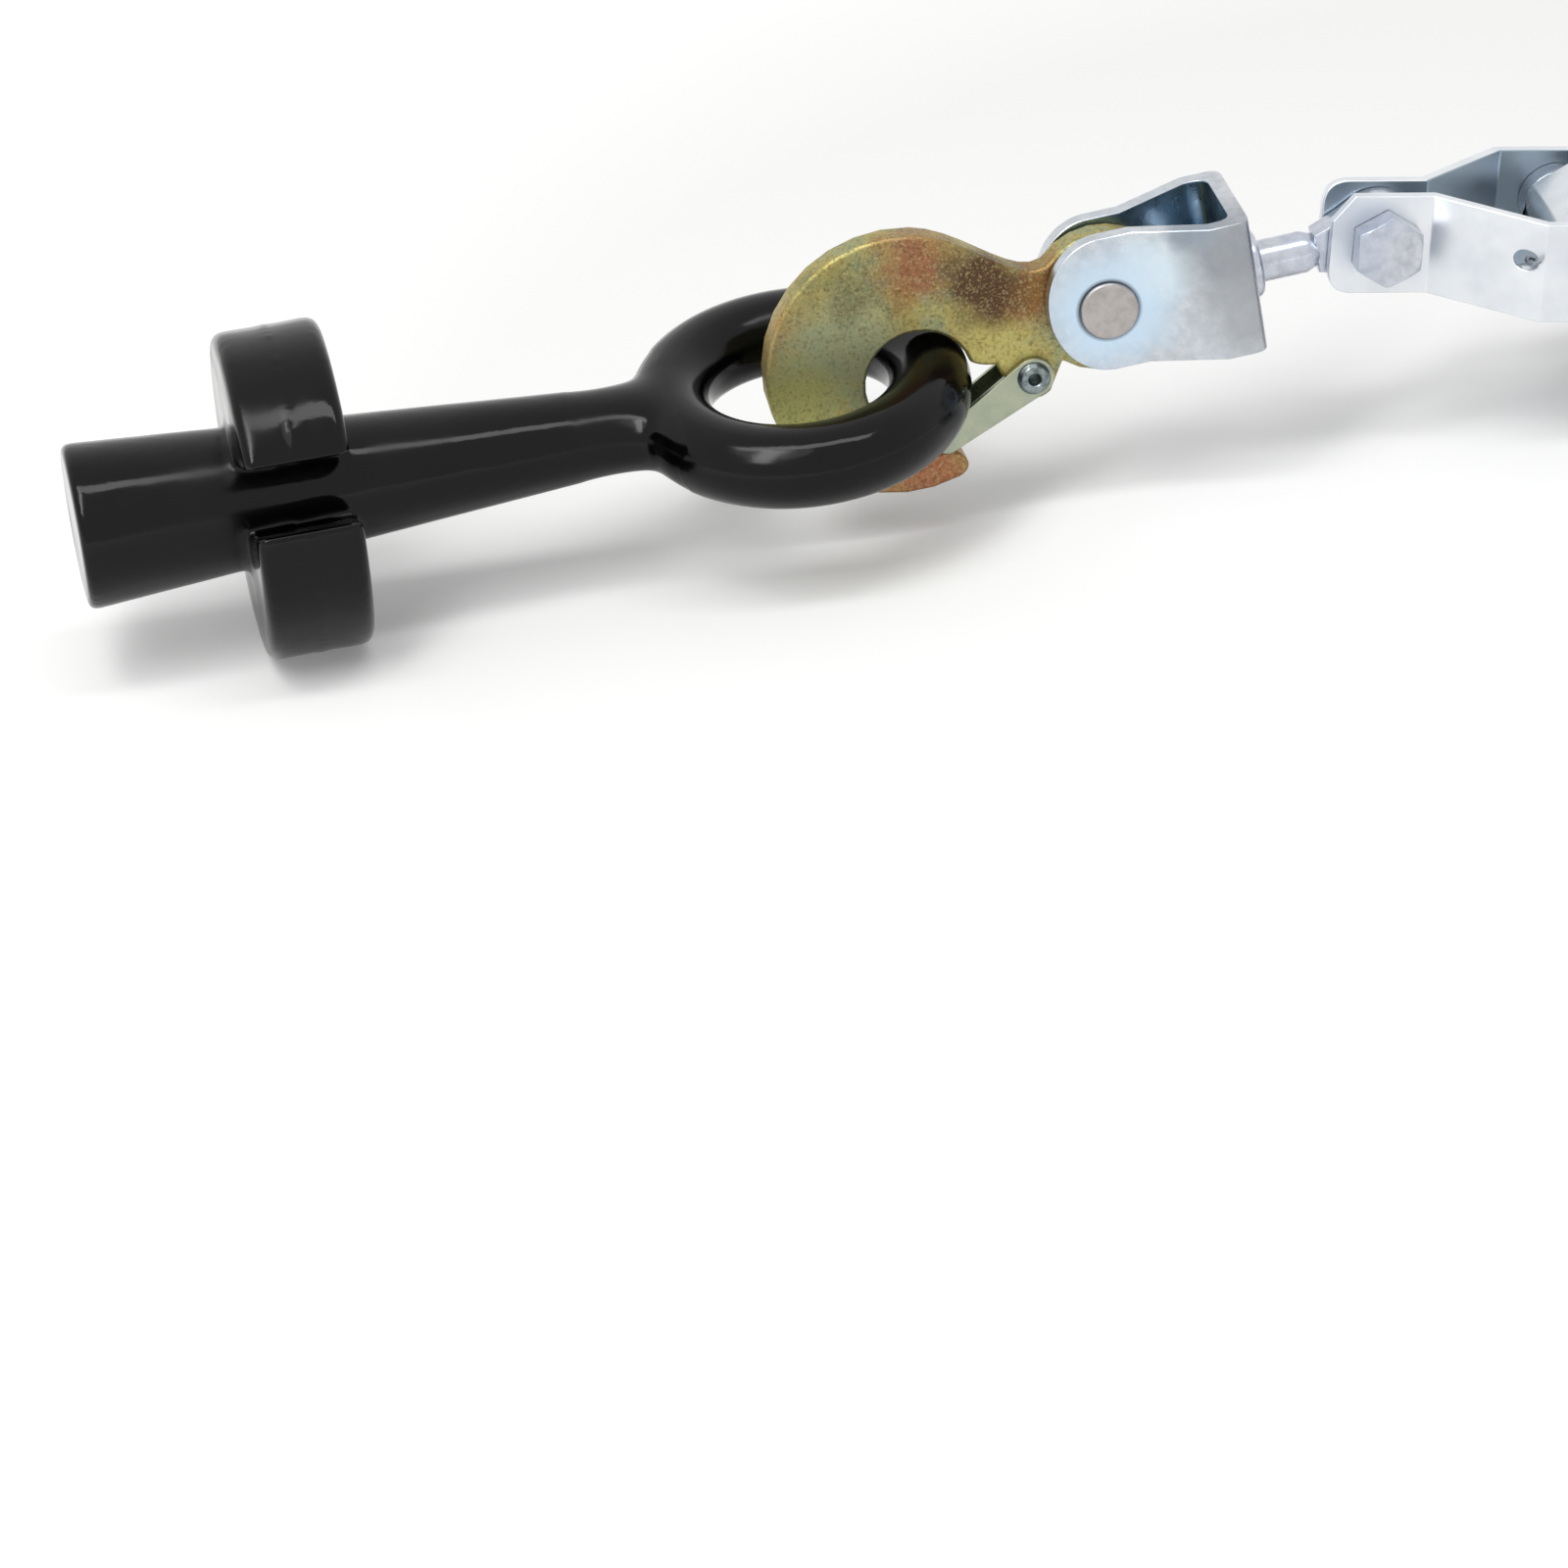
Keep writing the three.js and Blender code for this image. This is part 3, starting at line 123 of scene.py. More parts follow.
# ---------------------------------------------------------------- nodes
def linear(code: int) -> tuple[float, float, float, float]:
    """Turns an sRGB hex colour to linear.

    Args:
        code: colour as 0xRRGGBB.

    Returns:
        Linear red, green, blue and an alpha of one.
    """
    parts = [((code >> shift) & 255) / 255 for shift in (16, 8, 0)]
    low, slope, lift, power = 0.04045, 12.92, 0.055, 2.4
    curve = [c / slope if c <= low else ((c + lift) / (1 + lift)) ** power for c in parts]
    return (*curve, 1.0)


def add_node(
    tree: Tree,
    kind: Kind,
    settings: dict | None = None,
    links: dict | None = None,
    stops: tuple = (),
) -> bpy.types.Node:
    """Adds a shader node.

    Args:
        tree: node tree that gets the node.
        kind: what the node does.
        settings: attributes and input sockets with their values.
        links: input sockets with what feeds them: an output socket, or a node for its first one.
        stops: a ramp's (position, sRGB hex) pairs.

    Returns:
        The new node.
    """
    node = tree.nodes.new(kind.value)
    for key, value in (settings or {}).items():
        if isinstance(key, str) and hasattr(node, key):
            setattr(node, key, value)
        else:
            node.inputs[key].default_value = value
    for key, source in (links or {}).items():
        feed = source if isinstance(source, Socket) else source.outputs[0]
        tree.links.new(feed, node.inputs[key])
    for number, (position, code) in enumerate(stops):
        elements = node.color_ramp.elements
        element = elements[number] if number < len(elements) else elements.new(position)
        element.position = position
        element.color = linear(code)
    return node


def texture(size: float, detail: Detail, rough: float = 0.55) -> dict:
    """Gives the settings of a noise whose features are size millimetres large."""
    return {"Scale": 1 / (size * MM), "Detail": detail.value, "Roughness": rough}


def span(source: tuple, target: tuple) -> dict:
    """Gives the settings that map one (low, high) range to another."""
    return {"From Min": source[0], "From Max": source[1], "To Min": target[0], "To Max": target[1]}


def depth(size: float) -> dict:
    """Gives the settings of a relief that is size millimetres deep."""
    return {"Strength": 1.0, "Distance": size * MM}


# Sockets of a colour mix: the share of the colour on top, the two colours, and the result.
SHARE, UNDER, OVER, MIXED = 0, 6, 7, 2


def covering(code: int) -> dict:
    """Gives the settings of a mix that lays one sRGB hex colour over what is underneath."""
    return {"data_type": "RGBA", OVER: linear(code)}


def middle(node: str) -> Vector:
    """Returns the middle of a CAD node's box."""
    low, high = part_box(node)
    return (low + high) / 2


# ---------------------------------------------------------------- finishes
@dataclass(frozen=True)
class Patch:
    """A soft-edged patch of another colour over a finish's own.

    Attributes:
        place: its middle, in millimetres from the middle of the covered node.
        radius: its size in millimetres.
        colour: sRGB hex of the patch.
        share: how far it covers what is underneath, nought to one.
    """

    place: tuple[float, float, float]
    radius: float
    colour: int
    share: float


@dataclass(frozen=True)
class Finish:
    """A named surface finish. Subclasses lay their own pattern on the shader.

    Attributes:
        name: the finish in a maker's words.
        slot: the record's slot it belongs to; not used by this script.
        around: the CAD node whose middle the places on the surface are measured from.
        stray_size, stray_rough: size in millimetres and roughness of the wander in a patch's edge.
        patch_core: share of a patch's radius that is covered evenly.
        patch_rim: share of a patch's radius at which it ends.
    """

    name: str
    slot: Slot
    around: str = ""
    stray_size: float = 11.0
    stray_rough: float = 0.5
    patch_core: float = 0.45
    patch_rim: float = 1.1

    def lay(self, tree: Tree, place: Socket) -> tuple[dict, dict]:
        """Lays the pattern.

        Args:
            tree: the material's node tree.
            place: object coordinates.

        Returns:
            The shader's settings and its links.
        """
        raise NotImplementedError

    def make(self) -> bpy.types.Material:
        """Builds the material once and hands it out afterwards.

        Returns:
            The material.
        """
        made = bpy.data.materials.get(self.name)
        if made:
            return made
        material = bpy.data.materials.new(self.name)
        material.use_nodes = True
        tree = material.node_tree
        tree.nodes.clear()
        place = add_node(tree, Kind.PLACE).outputs["Object"]
        shader = add_node(tree, Kind.SURFACE, *self.lay(tree, place))
        add_node(tree, Kind.OUTPUT, links={"Surface": shader})
        return material

    def spot(self, offset: tuple) -> tuple:
        """Returns the place, in metres, of an offset in millimetres from the covered node."""
        return tuple(middle(self.around) + Vector(offset) * MM)

    def patched(
        self, tree: Tree, place: Socket, colour: Socket, patches: tuple, wander: float
    ) -> Socket:
        """Lays soft-edged patches of other colours over a colour.

        Args:
            tree: the material's node tree.
            place: object coordinates.
            colour: the colour underneath.
            patches: the patches, lowest first.
            wander: how far their edges stray, in millimetres.

        Returns:
            The colour with its patches.
        """
        wavering = texture(self.stray_size, Detail.CLOUDY, self.stray_rough)
        stray = add_node(tree, Kind.NOISE, wavering, {"Vector": place})
        evenly = {"operation": "SUBTRACT", 1: (0.5, 0.5, 0.5)}
        off = add_node(tree, Kind.VECTOR, evenly, {0: stray.outputs["Color"]})
        reach = {"operation": "MULTIPLY", 1: (2 * wander * MM,) * 3}
        far = add_node(tree, Kind.VECTOR, reach, {0: off})
        spot = add_node(tree, Kind.VECTOR, {"operation": "ADD"}, {0: place, 1: far})
        for patch in patches:
            centre = {"operation": "DISTANCE", 1: self.spot(patch.place)}
            away = add_node(tree, Kind.VECTOR, centre, {0: spot}).outputs["Value"]
            core, rim = (patch.radius * share * MM for share in (self.patch_core, self.patch_rim))
            factor = add_node(tree, Kind.RANGE, span((core, rim), (patch.share, 0)), {"Value": away})
            over = add_node(tree, Kind.MIX, covering(patch.colour), {SHARE: factor, UNDER: colour})
            colour = over.outputs[MIXED]
        return colour


@dataclass(frozen=True)
class DipCoat(Finish):
    """Black plastisol dipped over a rough iron casting.

    Thick, soft and glossy: the casting's waviness shows as bent highlights, with duller patches
    where the coat was handled before it set. Its orange peel, about a millimetre wide on the real
    coat, is drawn at 1.6 mm, so that it shows.
    """

    colour: int = 0x020203
    handled: int = 0x050506
    handled_size: float = 34.0
    handled_from: tuple = (0.42, 0.62)
    tint_from: tuple = (0.4, 0.7)
    gloss: float = 0.09
    dull: float = 0.24
    wave: float = 18.0
    wave_depth: float = 0.3
    peel: float = 1.6
    peel_depth: float = 0.012
    shine: float = 0.22

    def lay(self, tree: Tree, place: Socket) -> tuple[dict, dict]:
        """Lays waves, orange peel and handled patches.

        Args:
            tree: the material's node tree.
            place: object coordinates.

        Returns:
            The shader's settings and its links.
        """
        spot = {"Vector": place}
        touched = add_node(tree, Kind.NOISE, texture(self.handled_size, Detail.SOFT), spot)
        worn = span(self.handled_from, (self.gloss, self.dull))
        rough = add_node(tree, Kind.RANGE, worn, {"Value": touched})
        stops = tuple(zip(self.tint_from, (self.colour, self.handled)))
        tint = add_node(tree, Kind.RAMP, links={0: touched}, stops=stops)
        wave = add_node(tree, Kind.NOISE, texture(self.wave, Detail.WAVY), spot)
        waves = add_node(tree, Kind.RELIEF, depth(self.wave_depth), {"Height": wave})
        peel = add_node(tree, Kind.NOISE, texture(self.peel, Detail.SOFT), spot)
        links = {"Height": peel, "Normal": waves}
        skin = add_node(tree, Kind.RELIEF, depth(self.peel_depth), links)
        settings = {"Metallic": 0.0, "IOR": 1.5, "Specular IOR Level": self.shine}
        return settings, {"Base Color": tint, "Roughness": rough, "Normal": skin}


@dataclass(frozen=True)
class Chromate(Finish):
    """Yellow chromate over zinc on a flame-cut plate.

    The film's thickness drifts, so gold runs to olive, grey-green and rose. The plate's pitted
    skin shows as fine dark speckle and pale glints. Real pits are about 0.2 mm wide and are drawn
    at 0.7 to 0.95 mm, the finest that shows. The film is thick enough to hide part of the metal.
    """

    drift: float = 14.0
    films: tuple = (
        (0.3, 0x8C8A58),
        (0.42, 0xA89A5A),
        (0.5, 0xA7A066),
        (0.57, 0x929A74),
        (0.64, 0xB2A25E),
        (0.72, 0xA67F58),
    )
    speckle: float = 0.95
    speckle_from: tuple = (0.48, 0.72)
    speckle_share: float = 0.6
    speckle_colour: int = 0x5A4628
    glint: float = 0.7
    glint_from: tuple = (0.5, 0.72)
    glint_share: float = 0.4
    glint_colour: int = 0xD2C48C
    rough_from: tuple = (0.35, 0.7)
    rough: tuple = (0.4, 0.58)
    pits: float = 0.9
    pit_depth: float = 0.05
    metal: float = 0.62
    shine: float = 0.4
    wander: float = 7.0
    patches: tuple = (
        Patch((-52, -3.5, 14), 11, 0xAE8A4E, 0.7),
        Patch((-35, -3.5, 7), 19, 0xAAB28C, 0.85),
        Patch((-29, -3.5, 23), 9, 0x777A5A, 0.75),
        Patch((-12, -3.5, 28), 13, 0x965F44, 0.9),
        Patch((5, -3.5, 2), 12, 0xBBB066, 0.8),
        Patch((16, -3.5, 14), 12, 0x87572F, 0.85),
        Patch((4, -3.5, 18), 13, 0x4E3124, 0.95),
        Patch((-46, -3.5, -6), 13, 0xB9BA72, 0.85),
        Patch((-16, -3.5, -31), 16, 0xB06E50, 0.9),
    )

    def lay(self, tree: Tree, place: Socket) -> tuple[dict, dict]:
        """Lays drifting film colours, their patches, dark speckle and pale glints.

        Args:
            tree: the material's node tree.
            place: object coordinates.

        Returns:
            The shader's settings and its links.
        """
        spot = {"Vector": place}
        drift = add_node(tree, Kind.NOISE, texture(self.drift, Detail.RAGGED), spot)
        gold = add_node(tree, Kind.RAMP, links={0: drift}, stops=self.films).outputs[0]
        colour = self.patched(tree, place, gold, self.patches, self.wander)
        speckle = add_node(tree, Kind.NOISE, texture(self.speckle, Detail.GRAINY), spot)
        dark = span(self.speckle_from, (0, self.speckle_share))
        share = add_node(tree, Kind.RANGE, dark, {"Value": speckle})
        worn = add_node(tree, Kind.MIX, covering(self.speckle_colour), {SHARE: share, UNDER: colour})
        glint = add_node(tree, Kind.NOISE, texture(self.glint, Detail.SOFT), spot)
        light = span(self.glint_from, (0, self.glint_share))
        share = add_node(tree, Kind.RANGE, light, {"Value": glint})
        links = {SHARE: share, UNDER: worn.outputs[MIXED]}
        lit = add_node(tree, Kind.MIX, covering(self.glint_colour), links)
        rough = add_node(tree, Kind.RANGE, span(self.rough_from, self.rough), {"Value": speckle})
        pits = add_node(tree, Kind.NOISE, texture(self.pits, Detail.CLOUDY), spot)
        skin = add_node(tree, Kind.RELIEF, depth(self.pit_depth), {"Height": pits})
        settings = {"Metallic": self.metal, "Specular IOR Level": self.shine}
        return settings, {"Base Color": lit.outputs[MIXED], "Roughness": rough, "Normal": skin}


@dataclass(frozen=True)
class Zinc(Finish):
    """Electroplated zinc, as bright or as mottled as its fields say.

    Real rolling marks are a few hundredths of a millimetre wide and are drawn at 0.9 mm, the
    finest that shows.

    Attributes:
        pale, dark: the two tones of the plating.
        tint: colour of the passivation film where it is thickest.
        mottle: size of the blotches in millimetres.
        drift: size in millimetres of the film's slow changes.
        film: share of the film's colour, nought to one.
        gloss, dull: roughness of the brightest and the dullest plating.
        relief: depth of the surface's unevenness in millimetres.
        grain, grain_depth, grain_stretch: size, depth and stretch of the rolling marks.
        wander: how far the patches' edges stray, in millimetres.
        patches: soft-edged patches of other colours; on the clevis some are painted shade.
        inside: painted shade colour of the faces that look towards the heart, if they are shaded.
        heart: that middle, in millimetres from the middle of the covered node.
        seat: middle, inner radius and outer radius of a painted shadow line round a head's seat.
        seat_shade: colour of that painted shadow.
        cover: share of that painted shadow's colour and of the inside's painted shade.
    """

    pale: int = 0xD3D6DA
    dark: int = 0xA9AEB4
    tint: int = 0xA9BCD6
    tone_from: tuple = (0.34, 0.62)
    mottle: float = 7.0
    drift: float = 26.0
    drift_from: tuple = (0.45, 0.62)
    film: float = 0.25
    gloss: float = 0.22
    dull: float = 0.4
    gloss_from: tuple = (0.3, 0.7)
    relief: float = 0.02
    grain: float = 0.9
    grain_depth: float = 0.006
    grain_stretch: tuple = (0.25, 1, 1)
    wander: float = 4.0
    patches: tuple = ()
    # inside and heart paint shade on the faces that look inwards, which get little light
    inside: int | None = None
    heart: tuple = (0, 0, 0)
    # seat and the colour after it paint the shadow round a head's seat as a dark line
    seat: tuple | None = None
    seat_shade: int = 0x4A4F55
    cover: float = 0.85

    def shade_round_seat(self, tree: Tree, place: Socket, colour: Socket) -> Socket:
        """Paints the thin dark shadow that a head casts round itself on the face it sits on.

        Args:
            tree: the material's node tree.
            place: object coordinates.
            colour: the colour underneath.

        Returns:
            The colour with the line.
        """
        offset, inner, outer = self.seat
        centre = {"operation": "DISTANCE", 1: self.spot(offset)}
        away = add_node(tree, Kind.VECTOR, centre, {0: place}).outputs["Value"]
        fade = span((inner * MM, outer * MM), (self.cover, 0))
        share = add_node(tree, Kind.RANGE, fade, {"Value": away})
        over = add_node(tree, Kind.MIX, covering(self.seat_shade), {SHARE: share, UNDER: colour})
        return over.outputs[MIXED]

    def shade_inside(self, tree: Tree, place: Socket, colour: Socket) -> Socket:
        """Paints shade, in the inside's colour, on the faces that look towards the heart and get
        little light.

        Args:
            tree: the material's node tree.
            place: object coordinates.
            colour: the colour underneath.

        Returns:
            The colour with the painted shade.
        """
        look = add_node(tree, Kind.PLACE).outputs["Normal"]
        heart = {"operation": "SUBTRACT", 1: self.spot(self.heart)}
        out = add_node(tree, Kind.VECTOR, heart, {0: place})
        turned = add_node(tree, Kind.VECTOR, {"operation": "DOT_PRODUCT"}, {0: out, 1: look})
        fade = span((-2 * MM, 0), (self.cover, 0))
        share = add_node(tree, Kind.RANGE, fade, {"Value": turned.outputs["Value"]})
        over = add_node(tree, Kind.MIX, covering(self.inside), {SHARE: share, UNDER: colour})
        return over.outputs[MIXED]

    def lay(self, tree: Tree, place: Socket) -> tuple[dict, dict]:
        """Lays blotches, the film's tint, patches, painted shade where asked, and rolling marks.

        Args:
            tree: the material's node tree.
            place: object coordinates.

        Returns:
            The shader's settings and its links.
        """
        spot = {"Vector": place}
        blotch = add_node(tree, Kind.NOISE, texture(self.mottle, Detail.RAGGED), spot)
        stops = tuple(zip(self.tone_from, (self.dark, self.pale)))
        tone = add_node(tree, Kind.RAMP, links={0: blotch}, stops=stops)
        slow = add_node(tree, Kind.NOISE, texture(self.drift, Detail.SOFT), spot)
        share = add_node(tree, Kind.RANGE, span(self.drift_from, (0, self.film)), {"Value": slow})
        tinted = add_node(tree, Kind.MIX, covering(self.tint), {SHARE: share, UNDER: tone})
        colour = tinted.outputs[MIXED]
        if self.patches:
            colour = self.patched(tree, place, colour, self.patches, self.wander)
        # painted shade on the faces that look towards the heart
        if self.inside is not None:
            colour = self.shade_inside(tree, place, colour)
        # painted shadow round a head's seat
        if self.seat:
            colour = self.shade_round_seat(tree, place, colour)
        shine = span(self.gloss_from, (self.dull, self.gloss))
        rough = add_node(tree, Kind.RANGE, shine, {"Value": blotch})
        under = add_node(tree, Kind.RELIEF, depth(self.relief), {"Height": blotch})
        drawn = add_node(tree, Kind.STRETCH, {"Scale": self.grain_stretch}, spot)
        grain = add_node(tree, Kind.NOISE, texture(self.grain, Detail.SOFT), {"Vector": drawn})
        links = {"Height": grain, "Normal": under}
        skin = add_node(tree, Kind.RELIEF, depth(self.grain_depth), links)
        return {"Metallic": 1.0}, {"Base Color": colour, "Roughness": rough, "Normal": skin}


@dataclass(frozen=True)
class GripSleeve(Finish):
    """Moulded black PVC sleeve: matt, with a leather-like grain and rubbed, shinier ribs.

    The real grain is about 0.4 mm wide and is drawn at 0.8 mm, so that it shows.
    """

    colour: int = 0x141416
    worn: int = 0x232426
    rubbed_size: float = 18.0
    tint_from: tuple = (0.4, 0.72)
    rough_from: tuple = (0.35, 0.7)
    rough: tuple = (0.62, 0.42)
    grain: float = 0.8
    grain_depth: float = 0.05

    def lay(self, tree: Tree, place: Socket) -> tuple[dict, dict]:
        """Lays moulded grain and rubbed patches.

        Args:
            tree: the material's node tree.
            place: object coordinates.

        Returns:
            The shader's settings and its links.
        """
        spot = {"Vector": place}
        rubbed = add_node(tree, Kind.NOISE, texture(self.rubbed_size, Detail.CLOUDY), spot)
        stops = tuple(zip(self.tint_from, (self.colour, self.worn)))
        tint = add_node(tree, Kind.RAMP, links={0: rubbed}, stops=stops)
        rough = add_node(tree, Kind.RANGE, span(self.rough_from, self.rough), {"Value": rubbed})
        cells = add_node(tree, Kind.CELLS, {"Scale": 1 / (self.grain * MM)}, spot)
        skin = add_node(tree, Kind.RELIEF, depth(self.grain_depth), {"Height": cells})
        settings = {"Metallic": 0.0, "IOR": 1.53}
        return settings, {"Base Color": tint, "Roughness": rough, "Normal": skin}


class Finishes:
    """The winch's finishes by what they cover."""

    COAT = DipCoat("black dip coating on cast iron", Slot.BLACK)
    HOOK = Chromate("yellow chromate on flame-cut hook plate", Slot.YELLOW, around="hook")
    # Thick bent strip: cloudy blue and grey film with pale blue patches on the near face, and darker
    # at the top. Painted shade: dark grey patches towards the bend, steel blue on the inner faces,
    # which see no light, and a dark line round the pin's head, its painted shadow.
    CLEVIS = Zinc(
        "pale zinc on bent clevis strip",
        Slot.BRIGHT,
        around="clevis",
        pale=0xCBCFD4,
        dark=0xB6BBC1,
        tint=0xC9D3DB,
        mottle=3.0,
        film=0.3,
        gloss=0.24,
        dull=0.36,
        relief=0.03,
        # the patches at 20.7 and 23.7 mm, towards the bend, are painted shade
        patches=(
            Patch((-11.3, -11.5, -2.1), 19, 0xC6DDF0, 0.95),
            Patch((0.7, -15.5, 7.9), 11, 0xD6E6F0, 0.7),
            Patch((20.7, -16.5, 9.9), 16, 0x8D9197, 0.8),
            Patch((23.7, -17.5, -6.1), 13, 0xA3A6AB, 0.8),
            Patch((11.7, -13.5, 19.9), 9, 0x8994A0, 0.8),
        ),
        # painted shade on the inner faces, which see no light
        inside=0x86A2B4,
        heart=(0.7, 0, 0),
        # painted shadow round the pin's head
        seat=((-11.7, -9.5, -2.4), 7.9, 9.0),
    )
    # Cold-rolled strip: even, bright silver with barely visible clouds.
    STRAP = Zinc(
        "bright zinc on rolled strap",
        Slot.BRIGHT,
        pale=0xE4E7EA,
        dark=0xD8DCE0,
        film=0.1,
        mottle=12.0,
        gloss=0.24,
        dull=0.34,
    )
    # The same strip on the long rails, duller, so that a bolt's head mirrors only as soft shade.
    # Faces that look inwards between the straps carry painted shade.
    RAIL = Zinc(
        "bright zinc on rolled frame strap",
        Slot.BRIGHT,
        around="near_strap",
        pale=0xE6E9EC,
        dark=0xDBDFE4,
        film=0.1,
        mottle=12.0,
        gloss=0.34,
        dull=0.44,
        patches=(Patch((-67.3, 9.1, 19.6), 12, 0xBCC4D0, 0.6),),
        # painted shade on the faces that look inwards between the straps
        inside=0x8FA0AC,
        heart=(-5.3, 16.6, 1.6),
    )
    # Barrel-plated small parts: fine mottle and the sharpest highlights of the winch.
    FASTENER = Zinc(
        "bright zinc on cold-headed steel",
        Slot.BRIGHT,
        pale=0xCBCDD4,
        dark=0xB4B7C0,
        mottle=3.0,
        gloss=0.18,
        dull=0.3,
    )
    # Upset after plating: warm grey, half matt and slightly dimpled.
    PIN = Zinc(
        "grey zinc on upset pin head",
        Slot.BRIGHT,
        pale=0xB2B0B0,
        dark=0x9B9998,
        tint=0xB9AFA8,
        film=0.4,
        mottle=2.5,
        gloss=0.3,
        dull=0.45,
        relief=0.05,
    )
    # Thin clear chromate: a greenish, yellowish veil over bright sheet.
    LATCH = Zinc(
        "thin clear chromate on latch sheet",
        Slot.YELLOW,
        pale=0xA9AB98,
        dark=0x7F8B84,
        tint=0xA9B09A,
        mottle=5.0,
        film=0.7,
        gloss=0.22,
        dull=0.36,
        relief=0.05,
    )
    # Oiled steel: dark grey with a hard highlight on the rolled rim.
    RIVET = Zinc(
        "dark rivet steel",
        Slot.SPRING,
        pale=0x8C948E,
        dark=0x4F5650,
        film=0.2,
        mottle=1.5,
        gloss=0.25,
        dull=0.4,
    )
    # Sand-cast iron under zinc: lumpy, dull grey without a clear reflection.
    CAST = Zinc(
        "dull zinc on sand-cast drum iron",
        Slot.CAST,
        pale=0x9BA0A5,
        dark=0x5F646A,
        tint=0x8D9298,
        mottle=4.0,
        gloss=0.42,
        dull=0.6,
        relief=0.12,
    )
    # Stamped plate: half-matt grey, a little brighter than the casting between.
    WHEEL = Zinc(
        "zinc on stamped ratchet plate",
        Slot.CAST,
        pale=0xB4B8BC,
        dark=0x7E8388,
        mottle=6.0,
        gloss=0.3,
        dull=0.48,
    )
    # Drawn wire: smooth, even and bright along its length.
    SPRING = Zinc(
        "drawn spring wire",
        Slot.SPRING,
        pale=0x9A9EA3,
        dark=0x6C7076,
        film=0.1,
        mottle=2.0,
        gloss=0.2,
        dull=0.32,
        relief=0.005,
    )
    SLEEVE = GripSleeve("moulded black sleeve", Slot.RUBBER)


# ---------------------------------------------------------------- shaping
X_AXIS = Vector((1, 0, 0))
Y_AXIS = Vector((0, 1, 0))
Z_AXIS = Vector((0, 0, 1))
MERGE = 0.002 * MM
FLAT_ANGLE = math.radians(0.6)
PAIR_ANGLE = math.radians(60)

# Angles in degrees past which an edge stays sharp: on sheet and bar, on wire and on a dipped coat.
CREASE, WIRE_CREASE, NO_CREASE = 40.0, 70.0, 180.0


def arc(centre: tuple, size: tuple, start: float, end: float, steps: int) -> list[tuple]:
    """Gives the points of an arc in a profile.

    Args:
        centre: first and second coordinate of its middle.
        size: its radius along each coordinate.
        start: angle of the first point from the first coordinate, in degrees.
        end: angle of the last point.
        steps: stretches between the points.

    Returns:
        The points, from start to end.
    """
    turns = [math.radians(start + (end - start) * step / steps) for step in range(steps + 1)]
    return [(centre[0] + size[0] * math.cos(t), centre[1] + size[1] * math.sin(t)) for t in turns]


def both_ends(profile: list[tuple]) -> list[tuple]:
    """Mirrors a turned profile, which ends at distance nought, to the other end."""
    return profile + [(radius, -distance) for radius, distance in profile[-2::-1]]


